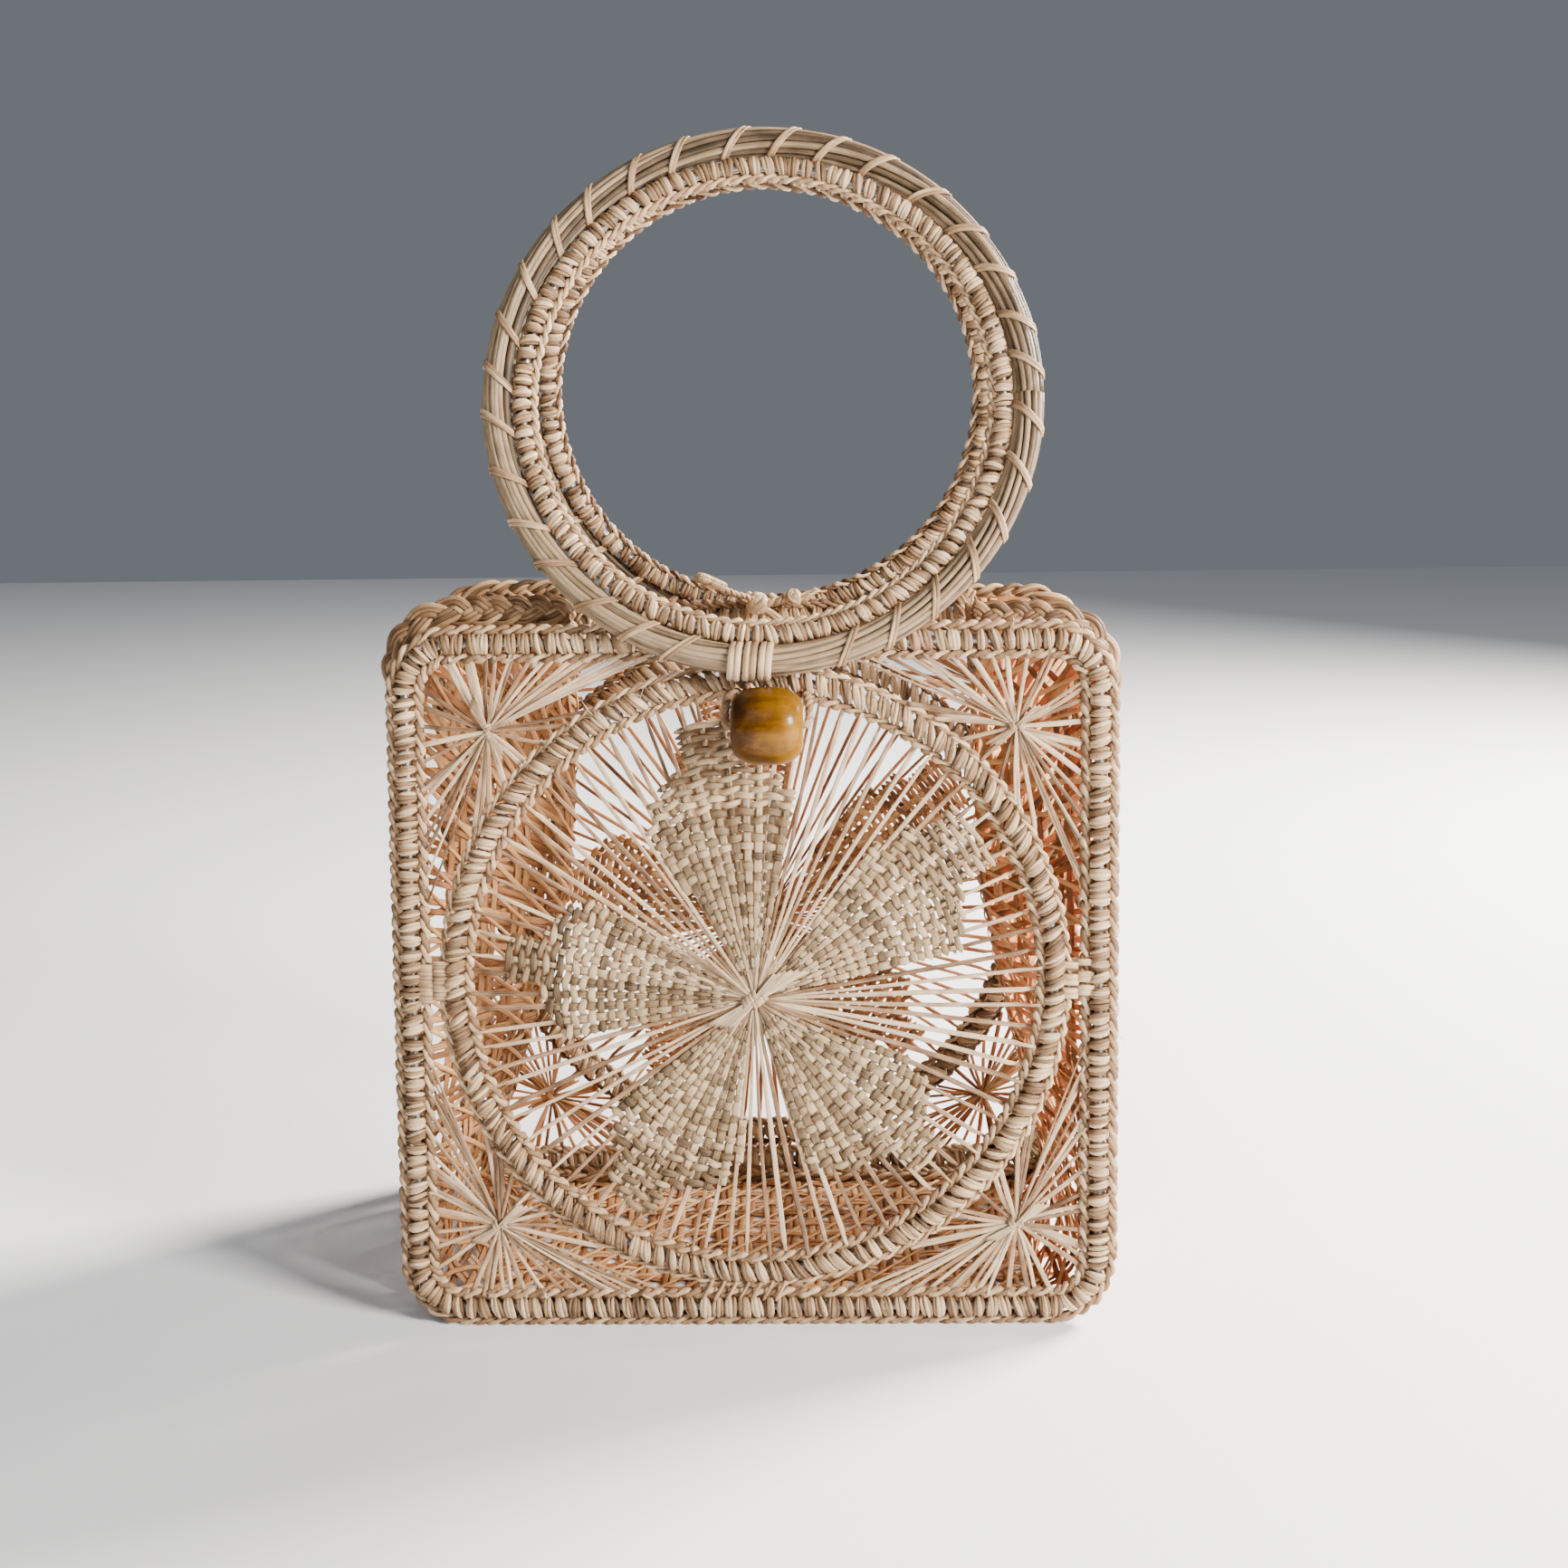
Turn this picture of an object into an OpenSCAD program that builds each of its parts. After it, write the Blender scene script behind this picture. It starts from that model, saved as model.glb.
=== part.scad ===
// Square openwork palm-straw handbag with two ring handles, a soft folding gusset and a bead closure.
// Millimetres, +Z up. X is the bag's width, -Y is its front, and the origin is on the floor
// under the middle of the bag.

/* [Body] */
// Width of a panel, between the centre lines of its side bars
panel_w = 200; // [170:1:240]
// Height of a panel, between the centre lines of its top and bottom bars
panel_h = 196; // [165:1:235]
// Depth of the bag at its foot, between the centre lines of the two bottom bars
foot_depth = 114; // [95:1:140]
// How far each panel leans inward, in degrees
panel_lean = 5.5; // [2:0.5:8]
// Radius of the panel's corners, on the bar's centre line
corner_r = 14; // [10:1:20]

/* [Wrapped wire] */
// Radius of the wire inside the frames and rings
wire_r = 1.25; // [1:0.05:1.6]
// Radius of the straw stitches over the wire
wrap_r = 3.2; // [2.8:0.1:3.8]
// Radius of a row of chain knots along a wrapped bar
chain_r = 1.3; // [1:0.1:1.6]
// Distance from the wire to a row of chain knots
chain_off = 4; // [3.6:0.1:4.8]
// Clearance between the round ring and the side bars of its frame
ring_side_gap = 2; // [1:0.5:6]

/* [Weave] */
// Number of spokes in the round flower
spoke_count = 88; // [60:2:100]
// Width of one spoke
spoke_w = 1.1; // [0.8:0.1:1.6]
// Thickness of one spoke
spoke_t = 0.9; // [0.6:0.1:1.2]
// Thickness of the woven petals
petal_t = 2; // [1.6:0.1:2.6]
// How far the flower's centre lies below the ring's centre
flower_drop = 6; // [0:1:12]
// Distance of a corner fan's crossing point from the side bar
fan_inset_x = 24; // [20:1:28]
// Distance of a corner fan's crossing point from the top or bottom bar
fan_inset_z = 25; // [20:1:28]
// Spacing of the fan straws along the frame
fan_pitch = 6; // [5:0.5:8]

/* [Gusset] */
// Width of the flat braid along each edge of the gusset
braid_w = 8; // [6:0.5:10]
// Thickness of the flat braid
braid_t = 3; // [2:0.1:3.5]
// Thickness of the gusset's net
net_t = 1.2; // [1:0.1:1.6]
// Distance from the middle of the bag to the gusset's left end
end_left = 52; // [44:1:60]
// Distance from the middle of the bag to the gusset's right end
end_right = 64; // [56:1:68]

/* [Handles] */
// Radius of a handle's straw bundle ring, on its centre line
handle_r = 76; // [70:1:90]
// Radius of the straw bundle
bundle_r = 4.3; // [3.8:0.1:5]
// Thickness of the flat straw whipped round the bundle
whip_t = 0.5; // [0.4:0.1:0.8]
// Number of turns of the whipping round the bundle
whip_count = 32; // [24:1:40]
// Radius of the stitches over the handle's inner wire
handle_wrap_r = 2.9; // [2.5:0.1:3.4]
// Distance of the handles from the middle of the bag, along the bar
handle_x = 4; // [-8:1:8]
// Number of lashing wraps that hold a handle to its panel
lash_count = 3; // [2:1:5]

/* [Bead and closure] */
// Largest radius of the bead
bead_r = 11; // [9:0.5:12]
// Length of the bead along its hole
bead_w = 20.3; // [16:0.1:24]
// Radius of the cord through the bead
cord_r = 1.5; // [1.2:0.1:1.8]
// Distance of the bead from the middle of the bag
bead_x = 4.8; // [-6:0.1:6]
// Length of the closure loop
loop_len = 28; // [24:1:34]

/* [Hidden] */

$fn = 48;
e = 0.01;
part_gap = 0.4;      // air between pieces that move on each other
run_fit = 0.06;      // radial clearance of the bead on its cord

straw = [0.85, 0.78, 0.66];
straw_dark = [0.72, 0.6, 0.45];
straw_green = [0.68, 0.64, 0.5];
steel = [0.55, 0.55, 0.56];
amber = [0.72, 0.45, 0.12];

// The outer chain row of the bottom bar stands on the floor.
edge_r = chain_off + chain_r;
foot_z = edge_r;
ring_r = min(panel_h / 2 - 2 * edge_r, panel_w / 2 - 2 * edge_r - ring_side_gap);
spoke_end = chain_off + 0.1;
flower_z = panel_h / 2 - flower_drop;

// A handle's pivot is the lowest point of its bundle, in front of the panel's top bar. The ring
// leans over that bar to touch the other ring, so the pivot stands further out where it leans more.
pivot_w = panel_h - edge_r;
touch_y = bundle_r + whip_t + part_gap / 2;
function pivot_depth(out) = foot_depth / 2 - pivot_w * sin(panel_lean) + out * cos(panel_lean);
function lean_at(out) = asin((pivot_depth(out) - touch_y) / (2 * handle_r));
bar_reach = wrap_r + bundle_r + whip_t;
over_bar = lean_at(bar_reach + part_gap + 1) - panel_lean;
pivot_out = (bar_reach + 0.22 + edge_r * sin(over_bar)) / cos(over_bar);
pivot_y = pivot_depth(pivot_out);
pivot_z = foot_z + pivot_w * cos(panel_lean) + pivot_out * sin(panel_lean);
handle_lean = lean_at(pivot_out);
handle_inner_r = handle_r - bundle_r - handle_wrap_r;

// The bead hangs in front of the flower, from the ring's inner chain row.
bead_anchor_w = panel_h / 2 + ring_r - chain_off;
bead_out = bead_r + spoke_t / 2 + part_gap + 0.5;
bead_w0 = bead_anchor_w - 9;
bead_leg_x = bead_w / 2 + 3;
// The bundle turns in the lashing wraps, which leave room for its curve. They fit between it
// and the wire of the ring behind it, in grooves.
lash_pitch = 4;
lash_w = 3;
lash_reach = lash_pitch * (lash_count - 1) / 2 + lash_w / 2;
lash_sag = handle_r - sqrt(pow(handle_r, 2) - pow(lash_reach, 2));
lash_r = bundle_r + lash_sag + 0.3;
lash_t = handle_wrap_r - wire_r - lash_sag - 0.65;
function lash_shift(i) = lash_pitch * (i - (lash_count - 1) / 2);

// The closure is tied inside the rear panel's top bar.
knot_r = 3.4;
knot_w = panel_h + 5.5;
knot_out = -7;

// The gusset's fold line, from its top end down to the floor, as [share of the way from the
// gusset's end to its side, share of the panel's height].
fold_shares = [[0.08, 0.94], [0.08, 0.87], [0.09, 0.8], [0.1, 0.74], [0.12, 0.67], [0.15, 0.59],
    [0.24, 0.5], [0.36, 0.4], [0.52, 0.28], [0.68, 0.16], [0.76, 0.07]];
net_across = 10;
net_top = 5;         // height of the gusset's end above the top bars' centre lines

function lerp(a, b, t) = a + (b - a) * t;
function polar(r, a) = [r * cos(a), r * sin(a)];

// Half of the clear depth between the two edge braids at a height.
function half_gap(z) = foot_depth / 2 - max(z - foot_z, 0) * tan(panel_lean) - wrap_r - braid_w + 0.1;

// A panel lies in X-Y with its foot bar's middle at the origin and Z pointing out of the bag.
module front() {
    translate([0, -foot_depth / 2, foot_z]) rotate([90 - panel_lean, 0, 0]) children();
}

module rear() {
    mirror([0, 1, 0]) front() children();
}

// ---- Frames and rings

// Section of a wrapped bar: X is outward from the loop, Y along the panel's normal.
module wrap_section(r, inner = true, outer = true) {
    difference() {
        union() {
            circle(r);
            if (inner) translate([-chain_off, 0]) circle(chain_r);
            if (outer) translate([chain_off, 0]) circle(chain_r);
        }
        circle(wire_r);
    }
}

// A straight stretch and a corner of a section swept round the panel's outline.
module bar(length) {
    rotate([90, 0, 0]) linear_extrude(length, center = true) children();
}

module bend() {
    rotate_extrude(angle = 90) translate([corner_r, 0]) children();
}

module frame_loop() {
    half = panel_w / 2;
    run_w = panel_w - 2 * corner_r;
    run_h = panel_h - 2 * corner_r;
    translate([half, panel_h / 2]) bar(run_h) children();
    translate([-half, panel_h / 2]) rotate(180) bar(run_h) children();
    translate([0, panel_h]) rotate(90) bar(run_w) children();
    rotate(-90) bar(run_w) children();
    translate([half - corner_r, panel_h - corner_r]) bend() children();
    translate([corner_r - half, panel_h - corner_r]) rotate(90) bend() children();
    translate([corner_r - half, corner_r]) rotate(180) bend() children();
    translate([half - corner_r, corner_r]) rotate(-90) bend() children();
}

module ring_loop(r) {
    rotate_extrude($fn = 96) translate([r, 0]) children();
}

module frame_wire() {
    color(steel) frame_loop() circle(wire_r);
}

module frame_wrap() {
    color(straw) frame_loop() wrap_section(wrap_r);
}

module ring_wire() {
    color(steel) translate([0, panel_h / 2]) ring_loop(ring_r) circle(wire_r);
}

module ring_wrap() {
    color(straw) translate([0, panel_h / 2]) ring_loop(ring_r) wrap_section(wrap_r);
}

module stadium(length, r) {
    square([length, 2 * r], center = true);
    for (s = [-1, 1]) translate([s * length / 2, 0]) circle(r);
}

// One flat straw tied round two bars that lie a distance apart along X.
module tie_band(length, width) {
    rotate([90, 0, 0]) linear_extrude(width, center = true) difference() {
        stadium(length, wrap_r + 0.8);
        stadium(length, wrap_r + 0.05);
    }
}

// Bands that tie the ring to its frame at the left, the right and the foot.
module ring_lashings() {
    side = panel_w / 2 - ring_r;
    foot = panel_h / 2 - ring_r;
    color(straw) {
        for (i = [-2:2])
            translate([-ring_r - side / 2, panel_h / 2 + 2.6 * i]) tie_band(side, 1.7);
        for (i = [-1:1])
            translate([ring_r + side / 2, panel_h / 2 + 4 * i]) tie_band(side, 2.6);
        for (i = [-1:1])
            translate([5 * i, foot / 2]) rotate(90) tie_band(foot, 1.7);
    }
}

// ---- Flower and fans

// An arm from a crossing point to its end, as [direction, length].
function arm(centre, end) = [atan2(end.y - centre.y, end.x - centre.x), norm(end - centre)];

// Outline of straws that cross at one point. Arms run round the point in order.
function star(arms) = [
    for (i = [0:len(arms) - 1])
        let (a = arms[i], b = arms[(i + 1) % len(arms)])
        let (step = (b[0] - a[0] + 720) % 360)
        let (half = asin(min(1, spoke_w / 2 / a[1])), valley = spoke_w / 2 / sin(step / 2))
        each [polar(a[1], a[0] - half), polar(a[1], a[0] + half), polar(valley, a[0] + step / 2)]
];

module straws(centre, arms) {
    translate([centre.x, centre.y, -spoke_t / 2]) linear_extrude(spoke_t) polygon(star(arms));
}

function flower_arms() = [
    for (i = [0:spoke_count - 1])
        arm([0, -flower_drop], polar(ring_r - spoke_end, (i + 0.5) * 360 / spoke_count))
];

module flower_spokes() {
    color(straw) straws([0, flower_z], flower_arms());
}

// Each petal as [first edge, last edge, middle of its narrow tip], in degrees.
petals = [[76, 122, 99], [10, 54, 36], [-76, -22, -44], [-143, -95, -122], [146, 192, 167]];
tip_half = 7;
petal_start = 9;

// A petal widens from the centre, then steps in to a narrow tip.
function petal_outline(p, reach) = [
    polar(petal_start, p[0] + 6),
    polar(0.64 * reach, p[0]), polar(0.72 * reach, p[0] + 2),
    polar(0.76 * reach, lerp(p[0], p[2] - tip_half, 0.5)), polar(0.8 * reach, p[2] - tip_half),
    polar(0.9 * reach, p[2] - tip_half), polar(0.9 * reach, p[2] + tip_half),
    polar(0.8 * reach, p[2] + tip_half), polar(0.76 * reach, lerp(p[1], p[2] + tip_half, 0.5)),
    polar(0.72 * reach, p[1] - 2), polar(0.64 * reach, p[1]),
    polar(petal_start, p[1] - 6)
];

module flower_petals() {
    reach = ring_r - flower_drop;
    color(straw_green) translate([0, flower_z, -petal_t / 2]) for (p = petals)
        linear_extrude(petal_t) polygon(petal_outline(p, reach));
}

module pill(length, r) {
    rotate([0, 90, 0]) cylinder(h = length, r = r, center = true);
    for (s = [-1, 1]) translate([s * length / 2, 0, 0]) sphere(r);
}

// The straw tied across the flower's crossing point.
module flower_tie() {
    color(straw) translate([0, flower_z]) rotate(38) pill(22, 2.2);
}

// A fan's arms, with the panel's corner at the origin and the ring's centre at mid panel.
function fan_arms() =
    let (c = [fan_inset_x, fan_inset_z], edge = spoke_end, centre = [panel_w, panel_h] / 2)
    let (along = floor((panel_w * 0.31) / fan_pitch), down = floor((panel_h * 0.36) / fan_pitch))
    let (first = corner_r * 0.5 + edge, mid = atan2(c.y - centre.y, c.x - centre.x))
    concat(
        [for (i = [0:down]) arm(c, [edge, first + fan_pitch * (down - i)])],
        [for (i = [0:along]) arm(c, [first + fan_pitch * (i + 0.5), edge])],
        [for (i = [-3:3]) arm(c, centre + polar(ring_r + spoke_end, mid + 5.5 * i))]
    );

// Arms sorted by direction, so that an outline runs round its centre once.
function turn(a) = (a + 720) % 360;
function sorted(list) = len(list) < 2 ? list :
    let (pivot = list[floor(len(list) / 2)])
    concat(
        sorted([for (a = list) if (turn(a[0]) < turn(pivot[0])) a]),
        [pivot],
        sorted([for (a = list) if (turn(a[0]) > turn(pivot[0])) a])
    );

module corner(side, end) {
    translate([side * panel_w / 2, end > 0 ? panel_h : 0])
        mirror([side > 0 ? 1 : 0, 0]) mirror([0, end > 0 ? 1 : 0]) children();
}

module fan(side, end) {
    color(straw) corner(side, end) straws([fan_inset_x, fan_inset_z], sorted(fan_arms()));
}

module fan_ties() {
    color(straw) for (side = [-1, 1], end = [-1, 1])
        corner(side, end) translate([fan_inset_x, fan_inset_z]) rotate(45) pill(9, 1.7);
}

// ---- Gusset

braid_in = 0.9;                  // inner face of the edge braid, out from the bar's centre line
braid_out = -wrap_r + 0.1;       // its face beside the bar

module braid_section() {
    translate([braid_in, braid_out - braid_w]) square([braid_t, braid_w]);
}

// The edge braid runs from the gusset's left end round the foot to its right end.
module edge_braid() {
    half = panel_w / 2;
    run_h = panel_h - 2 * corner_r;
    left = half - corner_r - end_left;
    right = half - corner_r - end_right;
    color(straw_dark) {
        translate([-end_left - left / 2, panel_h]) rotate(90) bar(left) braid_section();
        translate([end_right + right / 2, panel_h]) rotate(90) bar(right) braid_section();
        translate([half, panel_h / 2]) bar(run_h) braid_section();
        translate([-half, panel_h / 2]) rotate(180) bar(run_h) braid_section();
        rotate(-90) bar(panel_w - 2 * corner_r) braid_section();
        translate([half - corner_r, panel_h - corner_r]) bend() braid_section();
        translate([corner_r - half, panel_h - corner_r]) rotate(90) bend() braid_section();
        translate([corner_r - half, corner_r]) rotate(180) bend() braid_section();
        translate([half - corner_r, corner_r]) rotate(-90) bend() braid_section();
    }
}

module gusset_floor_net() {
    run = panel_w / 2 - corner_r;
    deep = half_gap(0);
    color(straw_dark) translate([-run, -deep + part_gap, 0])
        cube([2 * run, 2 * deep - part_gap + 0.5, net_t]);
}

// Outlines of a side net in the X-Z plane, from its top end down to the floor: the edge
// beside the frames, and the fold line halfway between them.
function net_foot() = [panel_w / 2 - corner_r, net_t / 2];
function edge_path(first) = let (half = panel_w / 2, top = foot_z + panel_h + net_top) [
    [first, top], [lerp(first, half - corner_r, 0.5), top], [half - corner_r, top - 0.5],
    [half - 3, top - 9], [half + 1, foot_z + panel_h - corner_r - 8],
    each [for (s = [0.72, 0.56, 0.4, 0.25, 0.12]) [half + 1, foot_z + s * panel_h]],
    [half - 3, foot_z], net_foot()
];
function fold_path(first) = [
    each [for (p = fold_shares) [lerp(first, panel_w / 2 + 1, p.x), foot_z + p.y * panel_h]],
    net_foot()
];
net_rows = len(fold_shares);
function path_at(path, t) = let (k = min(floor(t), net_rows - 1)) lerp(path[k], path[k + 1], t - k);

// A point of a side net. t runs down the net from its end, and v from front to rear.
function fold_share(v) = 1 - pow(abs(v), 1.5);
function net_point(first, t, v) =
    let (p = lerp(path_at(edge_path(first), t), path_at(fold_path(first), t), fold_share(v)))
    let (deep = half_gap(p.y))
    [p.x, v < 0 ? v * (deep - part_gap) : v * (deep + 0.4), p.y];

// Unit normal of the net, pointing out of the bag.
function path_normal(path, t) =
    let (d = path_at(path, min(t + 0.5, net_rows)) - path_at(path, max(t - 0.5, 0)))
    [-d.y, 0, d.x] / norm(d);
function net_normal(first, t, v) =
    let (n = lerp(path_normal(edge_path(first), t), path_normal(fold_path(first), t), fold_share(v)))
    n / norm(n);

// A closed sheet over a grid of points, of thickness t along each row's normal.
module sheet(first, t0, t1, rows, thick) {
    cols = net_across;
    function at(i, j, side) = let (t = lerp(t0, t1, i / rows), v = 2 * j / cols - 1)
        net_point(first, t, v) + net_normal(first, t, v) * side * thick / 2;
    points = [for (side = [1, -1], i = [0:rows], j = [0:cols]) at(i, j, side)];
    half = (rows + 1) * (cols + 1);
    function id(i, j) = i * (cols + 1) + j;
    faces = concat(
        [for (i = [0:rows - 1], j = [0:cols - 1]) each
            [[id(i, j), id(i + 1, j), id(i + 1, j + 1)], [id(i, j), id(i + 1, j + 1), id(i, j + 1)]]],
        [for (i = [0:rows - 1], j = [0:cols - 1]) each
            [[half + id(i, j), half + id(i + 1, j + 1), half + id(i + 1, j)],
                [half + id(i, j), half + id(i, j + 1), half + id(i + 1, j + 1)]]],
        [for (i = [0:rows - 1]) each [
            [id(i + 1, 0), id(i, 0), half + id(i, 0)], [id(i + 1, 0), half + id(i, 0), half + id(i + 1, 0)],
            [id(i, cols), id(i + 1, cols), half + id(i + 1, cols)],
            [id(i, cols), half + id(i + 1, cols), half + id(i, cols)]]],
        [for (j = [0:cols - 1]) each [
            [id(0, j), id(0, j + 1), half + id(0, j + 1)], [id(0, j), half + id(0, j + 1), half + id(0, j)],
            [id(rows, j + 1), id(rows, j), half + id(rows, j)],
            [id(rows, j + 1), half + id(rows, j), half + id(rows, j + 1)]]]
    );
    polyhedron(points, faces, convexity = 6);
}

// The end braid takes the first part of the first row.
end_share = 0.45;

module side_net(first) {
    color(straw_dark) sheet(first, end_share, net_rows, 2 * net_rows, net_t);
}

module end_braid(first) {
    color(straw_dark) sheet(first, 0, end_share, 2, braid_t);
}

// ---- Handles

// A handle lies in X-Y with its lowest point at the origin and Z pointing out of the bag.
module handle_place() {
    translate([handle_x, -pivot_y, pivot_z]) rotate([90 - handle_lean, 0, 0])
        translate([0, handle_r]) children();
}

module handle_wire() {
    color(steel) ring_loop(handle_inner_r) circle(wire_r);
}

module handle_wrap() {
    color(straw) difference() {
        ring_loop(handle_inner_r) wrap_section(handle_wrap_r, outer = false);
        for (i = [0:lash_count - 1]) translate([lash_shift(i), -handle_r]) rotate([0, 90, 0])
            cylinder(h = lash_w + 2 * part_gap, r = lash_r + lash_t + part_gap, center = true);
    }
}

module handle_bundle() {
    color(straw_green) ring_loop(handle_r) circle(bundle_r);
}

// The whipping stops on each side of the lashing, at the foot of the ring.
module handle_whipping() {
    color(straw) for (i = [1:whip_count - 2]) rotate((i + 0.5) * 360 / whip_count - 91.3)
        rotate_extrude(angle = 2.6) translate([handle_r, 0]) difference() {
            circle(bundle_r + whip_t);
            circle(bundle_r);
        }
}

// Wraps round the bundle, each with a thread through the chain rows behind it.
module handle_lashing() {
    color(straw) for (i = [0:lash_count - 1]) translate([handle_x + lash_shift(i), pivot_w, 0]) {
        translate([0, 0, pivot_out]) rotate([0, 90, 0]) difference() {
            cylinder(h = lash_w, r = lash_r + lash_t, center = true);
            cylinder(h = lash_w + 1, r = lash_r, center = true);
        }
        translate([0, 0, -2]) cylinder(h = pivot_out - lash_r - lash_t / 2 + 2, r = 0.9);
    }
}

// ---- Bead

bead_leg = [0, bead_w0 - bead_anchor_w, bead_out];
bead_leg_len = norm(bead_leg);
bead_leg_tilt = atan2(bead_leg.z, bead_leg.y);

module bead_place() {
    translate([bead_x, bead_w0, bead_out]) children();
}

// Half outline of the barrel, with round shoulders.
module barrel_outline() {
    round_r = 8;
    square([bead_r - round_r, bead_w], center = false);
    translate([0, round_r]) square([bead_r, bead_w - 2 * round_r]);
    for (y = [round_r, bead_w - round_r]) translate([bead_r - round_r, y]) circle(round_r);
}

module bead() {
    color(amber) bead_place() rotate([0, 90, 0]) translate([0, 0, -bead_w / 2]) rotate_extrude()
        difference() {
            intersection() {
                barrel_outline();
                square([bead_r, bead_w]);
            }
            translate([-e, -e]) square([cord_r + run_fit + e, bead_w + 2 * e]);
        }
}

module bead_cord() {
    color(straw) bead_place() {
        rotate([0, 90, 0]) cylinder(h = 2 * bead_leg_x, r = cord_r, center = true);
        for (s = [-1, 1]) translate([s * bead_leg_x, 0, 0]) {
            sphere(cord_r + 0.2);
            rotate([bead_leg_tilt + 90, 0, 0])
                cylinder(h = bead_leg_len - chain_r - 2, r = cord_r);
        }
    }
}

// ---- Closure

module knot_place() {
    translate([0, knot_w, knot_out]) children();
}

// A straight cord between two points.
module cord_run(a, b, r) {
    d = b - a;
    translate(a) rotate([0, 0, atan2(d.y, d.x)]) rotate([0, acos(d.z / norm(d)), 0])
        cylinder(h = norm(d), r = r);
}

module closure_anchor() {
    foot = pivot_w;
    color(straw) {
        knot_place() sphere(knot_r);
        for (x = [-4, 12]) {
            cord_run([0, knot_w, knot_out], [x, foot, -1.5], 1.1);
            translate([x, foot, -1.5]) sphere(1.5);
        }
    }
}

module closure_tail() {
    color(straw) knot_place() {
        cord_run([knot_r - 0.6, 0, 0], [10, 1.5, 0], 1.4);
        translate([10, 1.5, 0]) rotate(8) {
            sphere(2.6);
            rotate([0, 90, 0]) cylinder(h = 8, r = 2.6);
        }
    }
}

// The loop points forward and to the left of the knot, and swings about a vertical line.
loop_turn = 225;
loop_rise = 22;
loop_wrap_len = 11;

module loop_place() {
    y = foot_depth / 2 - knot_w * sin(panel_lean) + knot_out * cos(panel_lean);
    z = foot_z + knot_w * cos(panel_lean) + knot_out * sin(panel_lean);
    translate([0, y, z]) rotate([0, 0, loop_turn]) rotate([0, -loop_rise, 0]) children();
}

module closure_loop_cord() {
    start = knot_r + part_gap;
    color(straw) loop_place() translate([start, 0, 0]) rotate([0, 90, 0])
        cylinder(h = loop_len - loop_wrap_len - start, r = 1.6);
}

module closure_loop_wrap() {
    color(straw) loop_place() translate([loop_len - loop_wrap_len, 0, 0]) {
        rotate([0, 90, 0]) cylinder(h = loop_wrap_len - 2.8, r = 2.8);
        translate([loop_wrap_len - 2.8, 0, 0]) sphere(2.8);
    }
}

// ---- Nodes

front() frame_wire();  // front_frame_wire
front() frame_wrap();  // front_frame_wrap
front() ring_wire();  // front_ring_wire
front() ring_wrap();  // front_ring_wrap
front() ring_lashings();  // front_ring_lashings
front() flower_spokes();  // front_flower_spokes
front() flower_petals();  // front_flower_petals
front() flower_tie();  // front_flower_tie
front() fan(-1, 1);  // front_fan_top_left
front() fan(1, 1);  // front_fan_top_right
front() fan(-1, -1);  // front_fan_bottom_left
front() fan(1, -1);  // front_fan_bottom_right
front() fan_ties();  // front_fan_ties
front() edge_braid();  // front_edge_braid
rear() frame_wire();  // rear_frame_wire
rear() frame_wrap();  // rear_frame_wrap
rear() ring_wire();  // rear_ring_wire
rear() ring_wrap();  // rear_ring_wrap
rear() ring_lashings();  // rear_ring_lashings
rear() flower_spokes();  // rear_flower_spokes
rear() flower_petals();  // rear_flower_petals
rear() flower_tie();  // rear_flower_tie
rear() fan(-1, 1);  // rear_fan_top_left
rear() fan(1, 1);  // rear_fan_top_right
rear() fan(-1, -1);  // rear_fan_bottom_left
rear() fan(1, -1);  // rear_fan_bottom_right
rear() fan_ties();  // rear_fan_ties
rear() edge_braid();  // rear_edge_braid
gusset_floor_net();
mirror([1, 0, 0]) side_net(end_left);  // gusset_left_net
side_net(end_right);  // gusset_right_net
mirror([1, 0, 0]) end_braid(end_left);  // gusset_left_end_braid
end_braid(end_right);  // gusset_right_end_braid
handle_place() handle_wire();  // front_handle_wire
handle_place() handle_wrap();  // front_handle_wrap
handle_place() handle_bundle();  // front_handle_bundle
handle_place() handle_whipping();  // front_handle_whipping
front() handle_lashing();  // front_handle_lashing
mirror([0, 1, 0]) handle_place() handle_wire();  // rear_handle_wire
mirror([0, 1, 0]) handle_place() handle_wrap();  // rear_handle_wrap
mirror([0, 1, 0]) handle_place() handle_bundle();  // rear_handle_bundle
mirror([0, 1, 0]) handle_place() handle_whipping();  // rear_handle_whipping
rear() handle_lashing();  // rear_handle_lashing
front() bead();
front() bead_cord();
rear() closure_anchor();
rear() closure_tail();
closure_loop_cord();
closure_loop_wrap();
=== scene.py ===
import math

import bpy
import numpy as np
from mathutils import Matrix, Vector


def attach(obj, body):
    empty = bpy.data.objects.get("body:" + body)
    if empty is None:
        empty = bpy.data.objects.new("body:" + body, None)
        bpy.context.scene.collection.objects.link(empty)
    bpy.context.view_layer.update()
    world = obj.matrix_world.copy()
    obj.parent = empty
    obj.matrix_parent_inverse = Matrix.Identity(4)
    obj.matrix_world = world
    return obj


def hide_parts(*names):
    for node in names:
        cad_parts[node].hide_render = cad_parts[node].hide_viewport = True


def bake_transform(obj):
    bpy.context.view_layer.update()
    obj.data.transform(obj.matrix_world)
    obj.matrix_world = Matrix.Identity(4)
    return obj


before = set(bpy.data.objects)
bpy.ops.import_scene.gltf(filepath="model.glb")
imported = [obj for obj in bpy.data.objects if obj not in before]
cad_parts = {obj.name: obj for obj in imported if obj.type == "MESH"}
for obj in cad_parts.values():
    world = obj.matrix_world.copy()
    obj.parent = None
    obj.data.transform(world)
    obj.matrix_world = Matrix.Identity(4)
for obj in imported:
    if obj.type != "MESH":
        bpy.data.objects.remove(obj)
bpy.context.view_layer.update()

rng = np.random.default_rng(11)

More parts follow.
